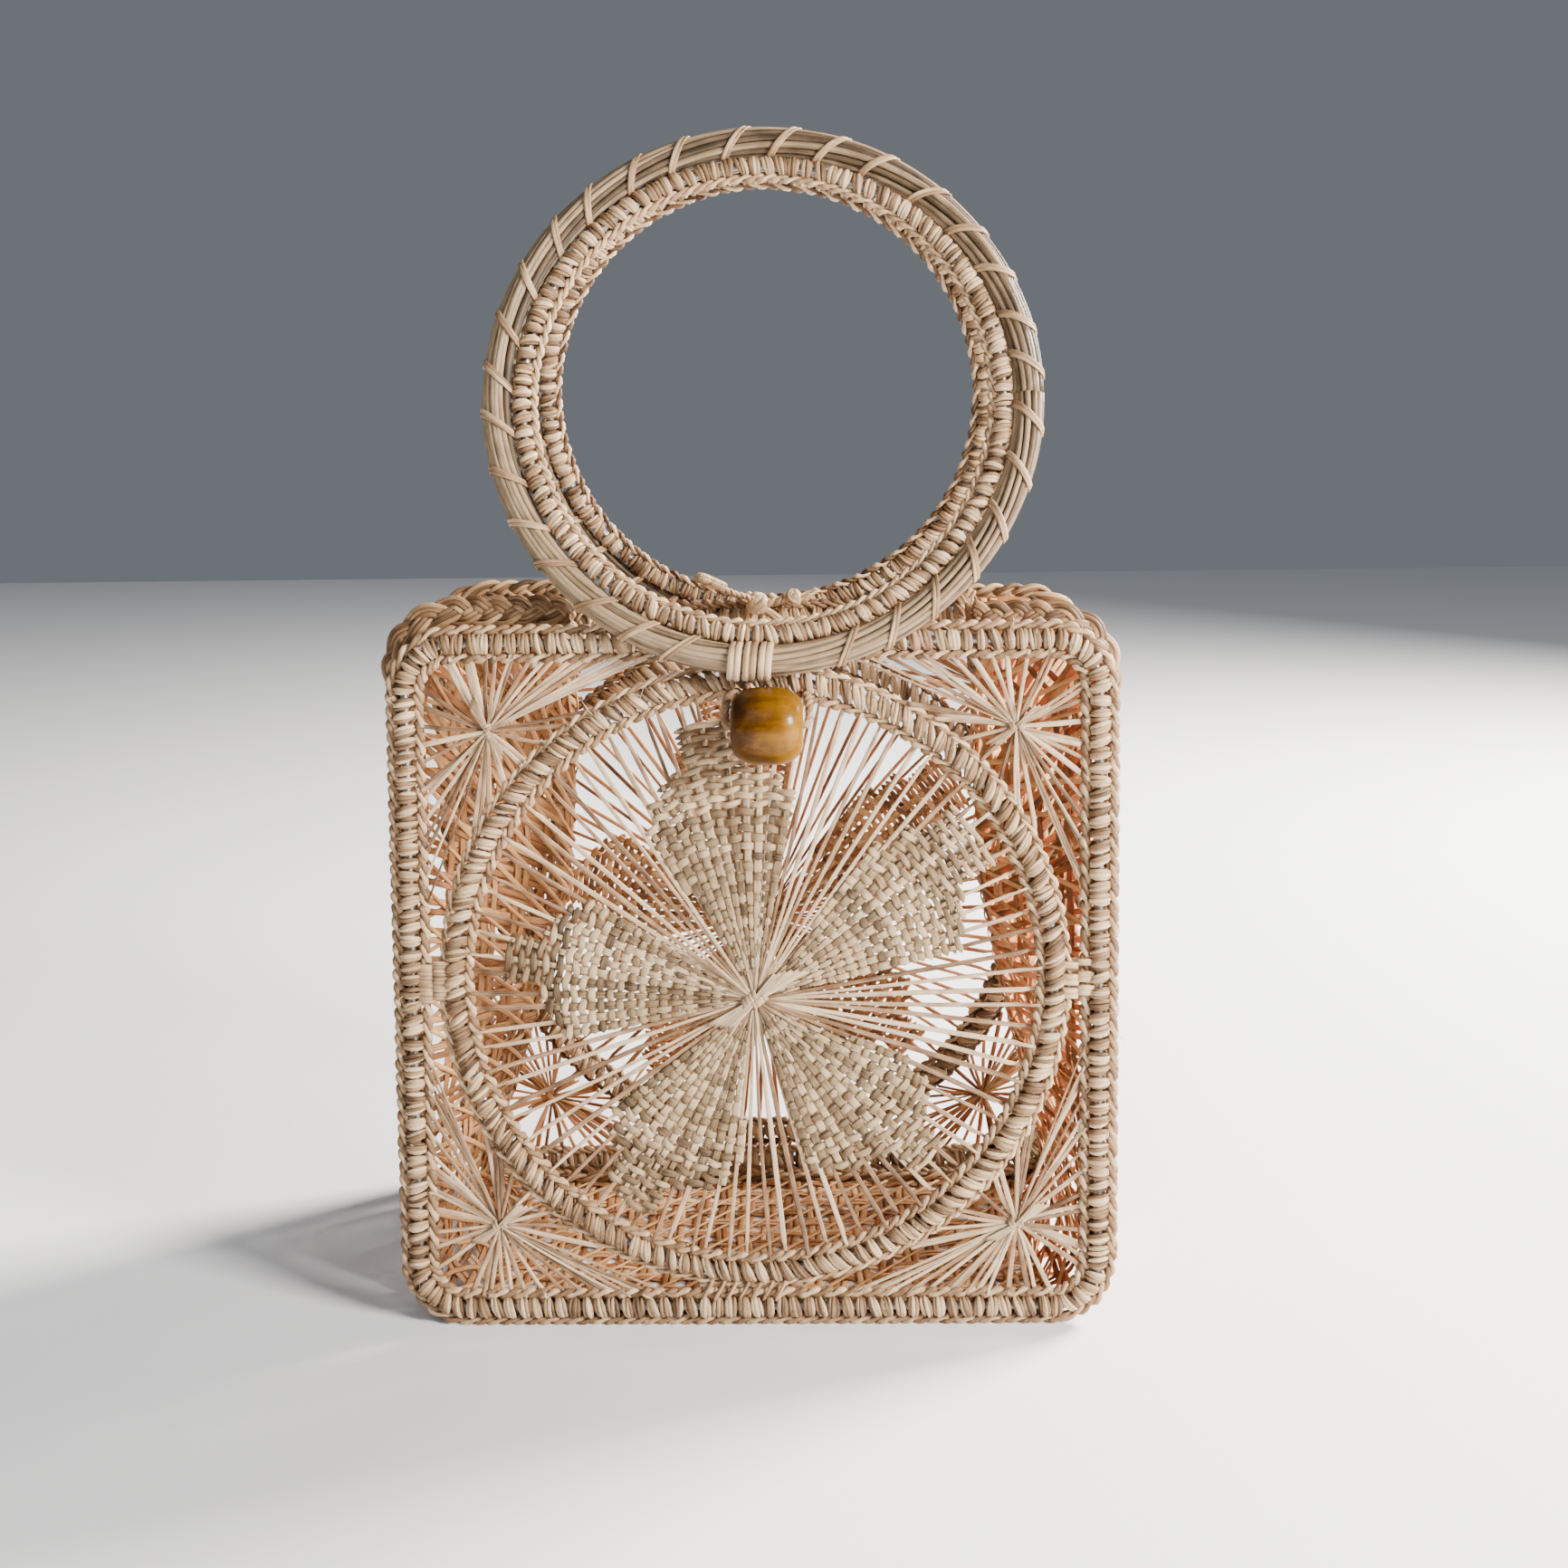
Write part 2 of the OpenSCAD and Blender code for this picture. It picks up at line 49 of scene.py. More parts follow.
# Sizes in millimetres, as in part.scad. A panel's own coordinates are across, up and outward.
PANEL_W, PANEL_H, DEPTH, LEAN, CORNER = 200.0, 196.0, 114.0, 5.5, 14.0
WRAP, CHAIN, CHAIN_OFF, EDGE = 3.2, 1.3, 4.0, 5.3
RING = 87.4
SPOKES, FLOWER_Z, FLOWER_DROP = 88, 92.0, 6.0
# Each petal's first and last directions, its tip's direction, and how far it reaches.
PETALS = [(77, 121, 99, 1.0), (12, 52, 37, 0.99), (-74, -22, -43, 0.86), (-143, -96, -122, 0.87),
          (146, 192, 169, 0.9)]
FAN = (24.0, 25.0)
FAN_PITCH = 6.0
HANDLE_R, BUNDLE, HANDLE_WRAP, HANDLE_X = 76.0, 4.3, 2.9, 4.0
HANDLE_INNER = HANDLE_R - BUNDLE - HANDLE_WRAP
PIVOT_OUT, PIVOT_W = 9.4, 190.7
HANDLE_LEAN = 16.464
END_LEFT, END_RIGHT = 52.0, 64.0
BEAD_R, BEAD_W, BEAD_X = 11.0, 20.3, 4.8
BEAD_OUT, BEAD_UP, BEAD_ANCHOR = 12.35, 172.4, 181.4
KNOT_UP, KNOT_OUT = 201.5, -7.0
LOOP_TURN, LOOP_RISE, LOOP_WRAP_START, LOOP_WRAP_END = 225, 22, 17.5, 25.0
FRAME_STITCHES, RING_STITCHES, HANDLE_STITCHES, HANDLE_BINDINGS = 200, 143, 112, 32
HANDLE_CHAIN, HANDLE_CHAIN_OFF = 1.05, 3.3
BRAID_BACK, NET_LAP = 8, 0.1

# The photograph's view: the camera's place in metres, its turns in degrees and its lens.
CAMERA_PLACE, CAMERA_LENS = (0.0192, -0.5683, 0.2576), 42.61
CAMERA_YAW, CAMERA_PITCH, CAMERA_ROLL = -1.09, 10.56, -0.70


# ---- Camera, floor and lights

def aim(obj, target):
    obj.rotation_euler = (Vector(target) - obj.location).to_track_quat("-Z", "Y").to_euler()


def camera():
    cam = bpy.data.objects.new("Camera", bpy.data.cameras.new("Camera"))
    bpy.context.collection.objects.link(cam)
    cam.data.sensor_width, cam.data.lens = 36, CAMERA_LENS
    yaw, pitch, roll = (math.radians(a) for a in (CAMERA_YAW, CAMERA_PITCH, CAMERA_ROLL))
    ahead = Vector((math.sin(yaw) * math.cos(pitch), math.cos(yaw) * math.cos(pitch), -math.sin(pitch)))
    side = Vector((math.cos(yaw), -math.sin(yaw), 0))
    up = side.cross(ahead)
    right = side * math.cos(roll) + up * math.sin(roll)
    top = up * math.cos(roll) - side * math.sin(roll)
    turned = Matrix((right, top, -ahead)).transposed().to_4x4()
    cam.matrix_world = Matrix.Translation(CAMERA_PLACE) @ turned
    bpy.context.scene.camera = cam


def light(name, place, target, size, power, color):
    lamp = bpy.data.lights.new(name, "AREA")
    lamp.energy, lamp.size, lamp.color = power, size, color
    obj = bpy.data.objects.new(name, lamp)
    bpy.context.collection.objects.link(obj)
    obj.location = place
    aim(obj, target)


def surround():
    """A dim pale world, a strong light from behind at the right, two from the front, and a pale floor."""
    world = bpy.data.worlds.new("World")
    bpy.context.scene.world = world
    world.use_nodes = True
    background = world.node_tree.nodes["Background"]
    background.inputs["Color"].default_value = (0.70, 0.76, 0.84, 1)
    background.inputs["Strength"].default_value = 0.22
    light("Window", (1.05, 0.62, 0.8), (0, 0, 0.12), 0.45, 110, (1.0, 0.95, 0.88))
    light("Room", (-0.4, -1.1, 1.1), (0, 0, 0.15), 1.0, 4, (0.94, 0.97, 1.0))
    light("Side", (1.05, -0.75, 0.6), (0, 0, 0.15), 0.35, 52, (1.0, 0.96, 0.91))
    me = bpy.data.meshes.new("Floor")
    me.from_pydata([(-3, -3, 0), (3, -3, 0), (3, 3, 0), (-3, 3, 0)], [], [(0, 1, 2, 3)])
    floor = bpy.data.objects.new("Floor", me)
    bpy.context.collection.objects.link(floor)
    mat = bpy.data.materials.new("Floor")
    mat.use_nodes = True
    shader = mat.node_tree.nodes["Principled BSDF"]
    shader.inputs["Base Color"].default_value = (0.90, 0.91, 0.93, 1)
    shader.inputs["Roughness"].default_value = 0.9
    me.materials.append(mat)


camera()
surround()


# ---- Materials

class Nodes:
    """A material's node tree, with short calls to add nodes to it."""

    def __init__(self, name):
        self.material = bpy.data.materials.new(name)
        self.material.use_nodes = True
        self.tree = self.material.node_tree
        self.shader = self.tree.nodes["Principled BSDF"]

    def add(self, kind, **settings):
        node = self.tree.nodes.new("ShaderNode" + kind)
        for key, value in settings.items():
            setattr(node, key, value)
        return node

    def link(self, source, target):
        self.tree.links.new(source, target)

    def put(self, socket, value):
        if hasattr(value, "is_output"):
            self.link(value, socket)
        else:
            socket.default_value = value

    def scaled(self, vector, factors):
        node = self.add("VectorMath", operation="MULTIPLY")
        self.link(vector, node.inputs[0])
        node.inputs[1].default_value = factors
        return node.outputs[0]

    def split(self, vector):
        node = self.add("SeparateXYZ")
        self.link(vector, node.inputs[0])
        return node.outputs

    def bump(self, height, strength, distance):
        node = self.add("Bump")
        node.inputs["Strength"].default_value = strength
        node.inputs["Distance"].default_value = distance
        self.link(height, node.inputs["Height"])
        self.link(node.outputs[0], self.shader.inputs["Normal"])

    def math(self, operation, a, b=0.0, clamp=False):
        node = self.add("Math", operation=operation, use_clamp=clamp)
        self.put(node.inputs[0], a)
        self.put(node.inputs[1], b)
        return node.outputs[0]

    def noise(self, vector, scale, detail=2.0, roughness=0.5):
        node = self.add("TexNoise")
        self.link(vector, node.inputs["Vector"])
        node.inputs["Scale"].default_value = scale
        node.inputs["Detail"].default_value = detail
        node.inputs["Roughness"].default_value = roughness
        return node.outputs[0]

    def ramp(self, fac, stops):
        node = self.add("ValToRGB")
        ramp = node.color_ramp
        while len(ramp.elements) < len(stops):
            ramp.elements.new(0.5)
        for element, (place, color) in zip(ramp.elements, stops):
            element.position = place
            element.color = (*color, 1)
        self.link(fac, node.inputs[0])
        return node.outputs[0]


def straw_material(name, dark, mid, pale, roughness=0.58, relief=0.5, fibre=1.0, outer_face_colours=None):
    """Dry palm straw. The straw attribute holds the place along, the place across and the strand.
    Where outer-face colours are given, faces pointing to +Y have them and faces pointing to -Y keep the main
    colours: a painted difference between the two sides, where the main colours stand for light that glows
    through the straws."""
    n = Nodes(name)
    own = n.add("Attribute", attribute_name="straw").outputs["Vector"]
    lines = n.noise(n.scaled(own, (0.05, 3.2 * fibre, 61.0)), 1.0, 3.0, 0.6)
    blotch = n.noise(n.scaled(own, (0.16, 0.3, 37.0)), 1.0, 2.0)
    tone = n.math("ADD", n.math("MULTIPLY", n.split(own)[2], 0.5), 0.02)
    tone = n.math("ADD", tone, n.math("MULTIPLY", lines, 0.5))
    tone = n.math("ADD", tone, n.math("MULTIPLY", n.math("SUBTRACT", blotch, 0.5), 0.5), clamp=True)
    stops = (0.2, 0.46, 0.76)
    color = n.ramp(tone, list(zip(stops, (dark, mid, pale))))
    if outer_face_colours:
        # Painted light: faces turned towards +Y get the outer-face colours, faces turned towards -Y keep the
        # main, glowing colours.
        facing = n.split(n.add("TexCoord").outputs["Normal"])
        mix = n.add("Mix", data_type="RGBA")
        n.link(n.math("ADD", n.math("MULTIPLY", facing[1], 1.6), 0.4, clamp=True), mix.inputs[0])
        n.link(color, mix.inputs[6])
        n.link(n.ramp(tone, list(zip(stops, outer_face_colours))), mix.inputs[7])
        color = mix.outputs[2]
    n.link(color, n.shader.inputs["Base Color"])
    rough = n.math("ADD", n.math("MULTIPLY", lines, -0.25), roughness + 0.125)
    n.link(rough, n.shader.inputs["Roughness"])
    n.shader.inputs["Specular IOR Level"].default_value = 0.35
    n.shader.inputs["Subsurface Weight"].default_value = 0.12
    n.shader.inputs["Subsurface Scale"].default_value = 0.002
    n.bump(lines, relief, 0.0003)
    return n.material


def wire_material():
    n = Nodes("drawn_wire")
    place = n.add("TexCoord").outputs["Object"]
    marks = n.noise(place, 900.0, 3.0)
    n.link(n.ramp(marks, [(0.2, (0.22, 0.2, 0.18)), (0.8, (0.45, 0.43, 0.4))]), n.shader.inputs["Base Color"])
    n.link(n.math("ADD", n.math("MULTIPLY", marks, 0.3), 0.3), n.shader.inputs["Roughness"])
    n.shader.inputs["Metallic"].default_value = 1.0
    return n.material


def bead_material():
    """Dark brown varnished wood with its grain along X, with painted shade that darkens it towards its left
    end, away from the main lights.
    """
    n = Nodes("lacquered_wood")
    place = n.add("TexCoord").outputs["Object"]
    grain = n.noise(n.scaled(place, (60.0, 700.0, 700.0)), 1.0, 4.0, 0.65)
    blotch = n.noise(place, 140.0, 5.0, 0.62)
    # Painted shade: the tone falls towards the bead's left end, the side away from the main lights.
    left = n.math("MULTIPLY", n.math("SUBTRACT", 0.0075, n.split(place)[0]), 24.0)
    tone = n.math("ADD", n.math("MULTIPLY", grain, 0.34), n.math("MULTIPLY", blotch, 0.72))
    tone = n.math("SUBTRACT", tone, left, clamp=True)
    color = n.ramp(tone, [(0.1, (0.012, 0.004, 0.0)), (0.36, (0.065, 0.022, 0.0)),
                          (0.6, (0.19, 0.078, 0.001)), (0.9, (0.36, 0.165, 0.003))])
    n.link(color, n.shader.inputs["Base Color"])
    n.link(n.math("ADD", n.math("MULTIPLY", grain, 0.12), 0.26), n.shader.inputs["Roughness"])
    n.shader.inputs["Specular IOR Level"].default_value = 0.15
    n.shader.inputs["Coat Weight"].default_value = 0.18
    n.shader.inputs["Coat Roughness"].default_value = 0.1
    n.bump(grain, 0.12, 0.0002)
    return n.material


STRAW = straw_material("palm_straw", (0.055, 0.025, 0.009), (0.30, 0.175, 0.085), (0.72, 0.51, 0.31))
SPOKE = straw_material("palm_spokes", (0.07, 0.035, 0.014), (0.32, 0.19, 0.10), (0.70, 0.52, 0.34),
                       relief=0.4)
WEAVE = straw_material("palm_weave", (0.06, 0.033, 0.014), (0.25, 0.165, 0.083), (0.56, 0.41, 0.24),
                       relief=0.45)
BRAID = straw_material("palm_braid", (0.045, 0.02, 0.007), (0.22, 0.115, 0.05), (0.55, 0.35, 0.18))
NET = straw_material("palm_net", (0.10, 0.035, 0.01), (0.40, 0.17, 0.055), (0.74, 0.41, 0.18))
# The rear panel's straws. Their orange main colours, on the faces towards the bag's inside, are a painted
# glow of light let in through the straws; their outer faces have plain straw colours.
INSIDE = straw_material("palm_inside", (0.09, 0.035, 0.01), (0.36, 0.165, 0.06), (0.70, 0.41, 0.19),
                        outer_face_colours=((0.07, 0.035, 0.014), (0.30, 0.185, 0.10), (0.66, 0.50, 0.33)))
STEMS = straw_material("palm_stems", (0.03, 0.018, 0.008), (0.13, 0.082, 0.042), (0.36, 0.25, 0.145),
                       roughness=0.5, relief=0.6, fibre=1.4)
WIRE = wire_material()
BEAD = bead_material()


# ---- Straw meshes

FLAT = np.array([(-1, 0), (-0.62, -1), (0.62, -1), (1, 0), (0.62, 1), (-0.62, 1)], float)
CREASED = np.array([(-1, 0.1), (-0.6, -1), (0, -0.75), (0.6, -1), (1, 0.1), (0.62, 1), (0, 0.35),
                    (-0.62, 1)], float)


def unit(a):
    return a / np.maximum(np.linalg.norm(a, axis=-1, keepdims=True), 1e-9)


class Straws:
    """Gathers ribbons of straw into one mesh. Each has a path, a direction across and half sizes."""

    def __init__(self):
        self.points, self.faces, self.straw, self.cells = [], [], [], []
        self.total, self.used = 0, 0

    def add(self, path, across, wide, thick, section=FLAT, tone=None):
        path = np.asarray(path, float)
        if path.ndim == 2:
            path = path[None]
        m, n, _ = path.shape
        k = len(section)
        across = np.broadcast_to(np.asarray(across, float), path.shape)
        wide = np.broadcast_to(np.asarray(wide, float), (m, n))
        thick = np.broadcast_to(np.asarray(thick, float), (m, n))
        along = unit(np.gradient(path, axis=1))
        across = unit(across - (across * along).sum(-1, keepdims=True) * along)
        up = np.cross(along, across)
        x = wide[..., None] * section[:, 0]
        y = thick[..., None] * section[:, 1]
        co = path[:, :, None] + across[:, :, None] * x[..., None] + up[:, :, None] * y[..., None]
        steps = np.linalg.norm(np.diff(path, axis=1), axis=-1)
        run = np.concatenate([np.zeros((m, 1)), np.cumsum(steps, axis=1)], axis=1)
        run = run + rng.uniform(0, 400, (m, 1))
        tone = rng.uniform(0, 1, m) if tone is None else np.clip(tone + rng.uniform(-0.2, 0.2, m), 0, 1)
        straw = np.empty((m, n, k, 3))
        straw[..., 0] = run[..., None]
        straw[..., 1] = x
        straw[..., 2] = tone[:, None, None]
        i = self.total + np.arange(m)[:, None, None] * (n * k)
        r = np.arange(n - 1)[None, :, None]
        j = np.arange(k)[None, None, :]
        j2 = (j + 1) % k
        quads = np.stack([i + r * k + j, i + r * k + j2, i + (r + 1) * k + j2, i + (r + 1) * k + j], -1)
        cell = self.used + np.arange(m)[:, None, None] * n + r + 0 * j
        box = np.stack(np.broadcast_arrays(cell, j / k, (j + 1) / k), -1)
        self.faces.append(quads.reshape(-1, 4))
        self.cells.append(np.concatenate([box.reshape(-1, 3), np.zeros((m * (n - 1) * k, 1))], 1))
        for end in (0, n - 1):
            for q in range(0, k - 2, 2):
                corners = [0, q + 1, q + 2, q + 3] if end else [q + 3, q + 2, q + 1, 0]
                face = self.total + np.arange(m)[:, None] * (n * k) + end * k + np.array(corners)
                self.faces.append(face)
                last = self.used + np.arange(m) * n + n - 1
                room = 0.05 + 0.45 * (end > 0) + 0.12 * (q // 2)
                self.cells.append(np.stack(np.broadcast_arrays(last, room, room + 0.1, 1.0), -1))
        self.points.append(co.reshape(-1, 3))
        self.straw.append(straw.reshape(-1, 3))
        self.total += m * n * k
        self.used += m * n

    def uv(self):
        """Every segment of every straw has its own cell in a grid."""
        cells = np.concatenate(self.cells)
        columns = max(1, int(math.sqrt(self.used * 3)))
        rows = self.used // columns + 1
        column, row = cells[:, 0] % columns, cells[:, 0] // columns
        cap = cells[:, 3]
        left, right = column + 0.3 * cap, column + 1 - 0.3 * cap
        v0, v1 = row + 0.06 + 0.88 * cells[:, 1], row + 0.06 + 0.88 * cells[:, 2]
        corner = np.stack([left, v0, left, v1, right, v1, right, v0], -1).reshape(-1, 4, 2)
        return corner / (columns, rows)


def front_panel(p):
    """Places points of a panel, which are across, up and outward, on the front panel."""
    a = math.radians(LEAN)
    u, w, o = p[:, 0], p[:, 1], p[:, 2]
    return np.stack([u, -DEPTH / 2 + w * math.sin(a) - o * math.cos(a),
                     EDGE + w * math.cos(a) + o * math.sin(a)], -1)


def front_handle(p):
    """Places points of a handle, about its ring's centre, as it rests on the front panel."""
    a = math.radians(HANDLE_LEAN)
    pivot = front_panel(np.array([[HANDLE_X, PIVOT_W, PIVOT_OUT]]))[0]
    u, w, o = p[:, 0], p[:, 1] + HANDLE_R, p[:, 2]
    return pivot + np.stack([u, w * math.sin(a) - o * math.cos(a), w * math.cos(a) + o * math.sin(a)], -1)


def as_built(p):
    return p


# Each panel, with the axis that flips what is made for the front.
MIRRORED = {"front": None, "rear": 1}


def piece(name, straws, place, mirrored, material, nodes, body=None, blend=None):
    """Makes a piece's mesh. place maps its coordinates to the front, and mirrored is the axis to flip."""
    points = place(np.concatenate(straws.points))
    faces = np.concatenate(straws.faces)
    uv = straws.uv()
    if mirrored is not None:
        points[:, mirrored] *= -1
        faces, uv = faces[:, ::-1], uv[:, ::-1]
    me = bpy.data.meshes.new(name)
    me.vertices.add(len(points))
    me.vertices.foreach_set("co", (points * 0.001).astype(np.float32).ravel())
    me.loops.add(faces.size)
    me.loops.foreach_set("vertex_index", faces.astype(np.int32).ravel())
    me.polygons.add(len(faces))
    me.polygons.foreach_set("loop_start", np.arange(0, faces.size, 4, dtype=np.int32))
    me.polygons.foreach_set("use_smooth", np.ones(len(faces), bool))
    me.update(calc_edges=True)
    own = me.attributes.new("straw", "FLOAT_VECTOR", "POINT")
    own.data.foreach_set("vector", np.concatenate(straws.straw).astype(np.float32).ravel())
    me.uv_layers.new(name="OFBake").data.foreach_set("uv", uv.astype(np.float32).ravel())
    me.materials.append(material)
    obj = bpy.data.objects.new(name, me)
    bpy.context.collection.objects.link(obj)
    if body:
        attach(obj, body)
    if blend:
        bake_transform(obj)
    if nodes:
        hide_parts(*nodes)


def on_panel(side, name, straws, material, node):
    """A piece that a panel carries, in place of one of that panel's nodes or of none."""
    nodes = [side + "_" + node] if node else []
    piece(side + "_" + name, straws, front_panel, MIRRORED[side], material, nodes, side + "_panel")


class Loop:
    """A closed line in a panel's plane, with its outward direction, by distance along it."""

    def __init__(self, points, out):
        self.points, self.out = np.array(points, float), np.array(out, float)
        steps = np.linalg.norm(np.roll(self.points, -1, 0) - self.points, axis=1)
        self.length = steps.sum()
        self.s = np.concatenate([[0], np.cumsum(steps)])
        self.points = np.vstack([self.points, self.points[:1]])
        self.out = np.vstack([self.out, self.out[:1]])

    def at(self, s):
        s = np.mod(s, self.length)
        x, y = (np.interp(s, self.s, self.points[:, i]) for i in (0, 1))
        a, b = (np.interp(s, self.s, self.out[:, i]) for i in (0, 1))
        zero = np.zeros_like(x)
        out = unit(np.stack([a, b, zero], -1))
        tangent = np.stack([-out[..., 1], out[..., 0], zero], -1)
        return np.stack([x, y, zero], -1), out, tangent


def circle(r, centre=(0.0, 0.0)):
    """A round line about a centre."""
    t = np.linspace(0, 2 * math.pi, 721)[:-1]
    out = np.stack([np.cos(t), np.sin(t)], -1)
    return Loop(out * r + centre, out)


def outline():
    """The middle line of a panel's frame bar."""
    points, out = [], []
    half, r = PANEL_W / 2, CORNER
    corners = ((half - r, r, -90), (half - r, PANEL_H - r, 0), (r - half, PANEL_H - r, 90),
               (r - half, r, 180))
    for x, y, start in corners:
        for a in np.radians(np.linspace(start, start + 90, 24)):
            points.append((x + r * math.cos(a), y + r * math.sin(a)))
            out.append((math.cos(a), math.sin(a)))
    return Loop(points, out)


NORMAL = np.array([0.0, 0.0, 1.0])


def stitches(st, loop, count, r, slant=0.12):
    """Straws wound tightly round a bar, gathered at its chain rows and full between them."""
    strands, n = 3, 13
    pitch = loop.length / count
    i = np.arange(count)[:, None, None]
    k = np.arange(strands)[None, :, None] - (strands - 1) / 2
    phi = np.linspace(0, 2 * math.pi, n)[None, None, :] + math.pi
    full = 0.42 + 0.58 * np.abs(np.sin(phi)) ** 0.7
    shift = rng.uniform(-0.09, 0.09, (count, 1, 1)) + rng.uniform(-0.06, 0.06, (count, strands, 1))
    tilt = slant + rng.uniform(-0.16, 0.16, (count, 1, 1))
    tilt = tilt + rng.uniform(-0.08, 0.08, (count, strands, 1))
    s = pitch * (i + 0.5 + shift + k / strands * 0.8 * full + tilt * np.cos(phi))
    lift = 0.42 * (1 - np.abs(k) / (strands / 2)) + rng.uniform(-0.22, 0.22, (count, strands, 1))
    radius = r - 0.5 + lift * full - 0.5 * (1 - full)
    pos, out, tangent = loop.at(s)
    path = pos + radius[..., None] * (np.cos(phi)[..., None] * out + np.sin(phi)[..., None] * NORMAL)
    wide = pitch / strands * full * rng.uniform(0.46, 0.68, (count, strands, 1))
    shape = (count * strands, n)
    st.add(path.reshape(*shape, 3), tangent.reshape(*shape, 3), wide.reshape(shape), 0.52)


def chain(st, loop, count, off, r):
    """A row of chain knots along a bar: two straws that turn round each other once in two stitches."""
    n = count * 6 + 1
    s = np.linspace(0, loop.length, n)
    pos, out, tangent = loop.at(s)
    for k in (0, 1):
        turn = math.pi * (s / loop.length * count + k)
        knot = rng.uniform(0.86, 1.12, count + 1)[np.arange(n) // 6]
        swell = (1 + 0.26 * np.cos(2 * turn)) * knot
        places = np.arange(0, n, 3)
        wander = np.interp(np.arange(n), places, rng.uniform(-0.16, 0.16, len(places)))
        path = pos + out * (off + 0.58 * r * np.cos(turn) + wander)[:, None]
        path = path + NORMAL * (0.58 * r * np.sin(turn))[:, None]
        across = np.cos(turn)[:, None] * NORMAL - np.sin(turn)[:, None] * out + 0.6 * tangent
        st.add(path, across, 0.7 * r * swell, 0.52 * r * swell)


def rope(st, points, r, pitch, strands=2, tone=None, samples=5):
    """Strands twisted round a smooth line through points, with some samples in each turn."""
    points = np.array(points, float)
    length = np.linalg.norm(np.diff(points, axis=0), axis=1).sum()
    t = np.linspace(0, len(points) - 1, max(12, int(length * samples / pitch)))
    line = smooth(points, t)
    along = unit(np.gradient(line, axis=0))
    first = unit(np.cross(along, np.array([0.13, 0.31, 0.94])))
    second = np.cross(along, first)
    run = np.concatenate([[0], np.cumsum(np.linalg.norm(np.diff(line, axis=0), axis=1))])
    for k in range(strands):
        turn = 2 * math.pi * (run / pitch + k / strands)
        spoke = np.cos(turn)[:, None] * first + np.sin(turn)[:, None] * second
        side = np.cross(along, spoke)
        st.add(line + spoke * (0.5 * r), side, 0.62 * r, 0.45 * r, tone=tone)


def smooth(points, t):
    """A Catmull-Rom line through points, at places t counted in points."""
    p = np.vstack([2 * points[0] - points[1], points, 2 * points[-1] - points[-2]])
    i = np.clip(np.floor(t).astype(int), 0, len(points) - 2)
    f = (t - i)[:, None]
    a, b, c, d = (p[i + k] for k in range(4))
    return 0.5 * (2 * b + (c - a) * f + (2 * a - 5 * b + 4 * c - d) * f ** 2
                  + (3 * b - a - 3 * c + d) * f ** 3)


def band(st, a, b, radius, across, wide, thick, slant, strands=1, tone=None):
    """A flat straw wound round two bars at a and b, or round one where they are the same."""
    a, b = np.array(a, float), np.array(b, float)
    n = 25
    t = np.linspace(0, 2 * math.pi, n) + math.pi / 2
    axis = b - a if np.linalg.norm(b - a) > 1e-6 else np.array([1.0, 0, 0])
    axis = unit(axis - across * (axis @ across))
    up = np.cross(axis, across)
    middle, half = (a + b) / 2, (b - a) / 2
    for k in range(strands):
        place = (k - (strands - 1) / 2) * wide * 1.7
        bulge = radius + rng.uniform(-0.08, 0.12)
        c, s = np.cos(t), np.sin(t)
        path = middle + np.tanh(3 * c)[:, None] * half + bulge * (c[:, None] * axis + s[:, None] * up)
        path = path + across * (place + slant * np.linspace(-1, 1, n))[:, None]
        st.add(path, across, wide, thick, tone=tone)


def ball(st, centre, r, wraps, tone):
    """A knot: straws wound round a point in several directions."""
    t = np.linspace(0, 2 * math.pi, 15)
    for _ in range(wraps):
        a = unit(rng.normal(size=3))
        b = unit(np.cross(a, rng.normal(size=3)))
        c = np.cross(a, b)
        reach = r * rng.uniform(0.62, 0.85)
        path = np.array(centre) + reach * (np.cos(t)[:, None] * b + np.sin(t)[:, None] * c)
        st.add(path + a * rng.uniform(-0.3, 0.3) * r, a, 0.42 * r, 0.22 * r, tone=tone)


def fibres(st, loop, count):
    """Fine loose ends that curl out of a bar, and not out of its foot."""
    for s0 in rng.uniform(0, loop.length, count):
        pos, out, tangent = loop.at(s0)
        if out[1] < -0.3:
            continue
        way = out * rng.uniform(0.2, 1) + tangent * rng.uniform(-1, 1) + NORMAL * rng.uniform(-0.2, 0.9)
        way = unit(way)
        curl = unit(tangent * rng.uniform(-1, 1) + NORMAL * rng.uniform(-1, 1)) * rng.uniform(0.4, 1.6)
        t = np.linspace(0, 1, 7)[:, None]
        root = pos + out * 3.0 * rng.uniform(-0.6, 1) + NORMAL * 2.2
        path = root + way * rng.uniform(3, 7.5) * t + curl * t ** 2
        st.add(path, curl, np.linspace(0.17, 0.06, 7), 0.07, tone=0.8)


FRAME = outline()
RING_LOOP = circle(RING, (0, PANEL_H / 2))
HANDLE_LOOP = circle(HANDLE_INNER)


# ---- Panels

def frame_bar(side):
    """The stitches wound round a panel's frame, and their chain rows."""
    st = Straws()
    stitches(st, FRAME, FRAME_STITCHES, WRAP)
    fibres(st, FRAME, 44)
    on_panel(side, "frame_stitches", st, STRAW, "frame_wrap")
    st = Straws()
    chain(st, FRAME, FRAME_STITCHES, -CHAIN_OFF, CHAIN)
    chain(st, FRAME, FRAME_STITCHES, CHAIN_OFF, CHAIN)
    on_panel(side, "frame_chains", st, STRAW, None)


def ring_bar(side):
    """The same round the ring, with the stitches aslant."""
    st = Straws()
    stitches(st, RING_LOOP, RING_STITCHES, WRAP, slant=0.34)
    fibres(st, RING_LOOP, 22)
    on_panel(side, "ring_stitches", st, STRAW, "ring_wrap")
    st = Straws()
    chain(st, RING_LOOP, RING_STITCHES, -CHAIN_OFF, CHAIN)
    chain(st, RING_LOOP, RING_STITCHES, CHAIN_OFF - 0.3, CHAIN - 0.3)
    on_panel(side, "ring_chains", st, STRAW, None)


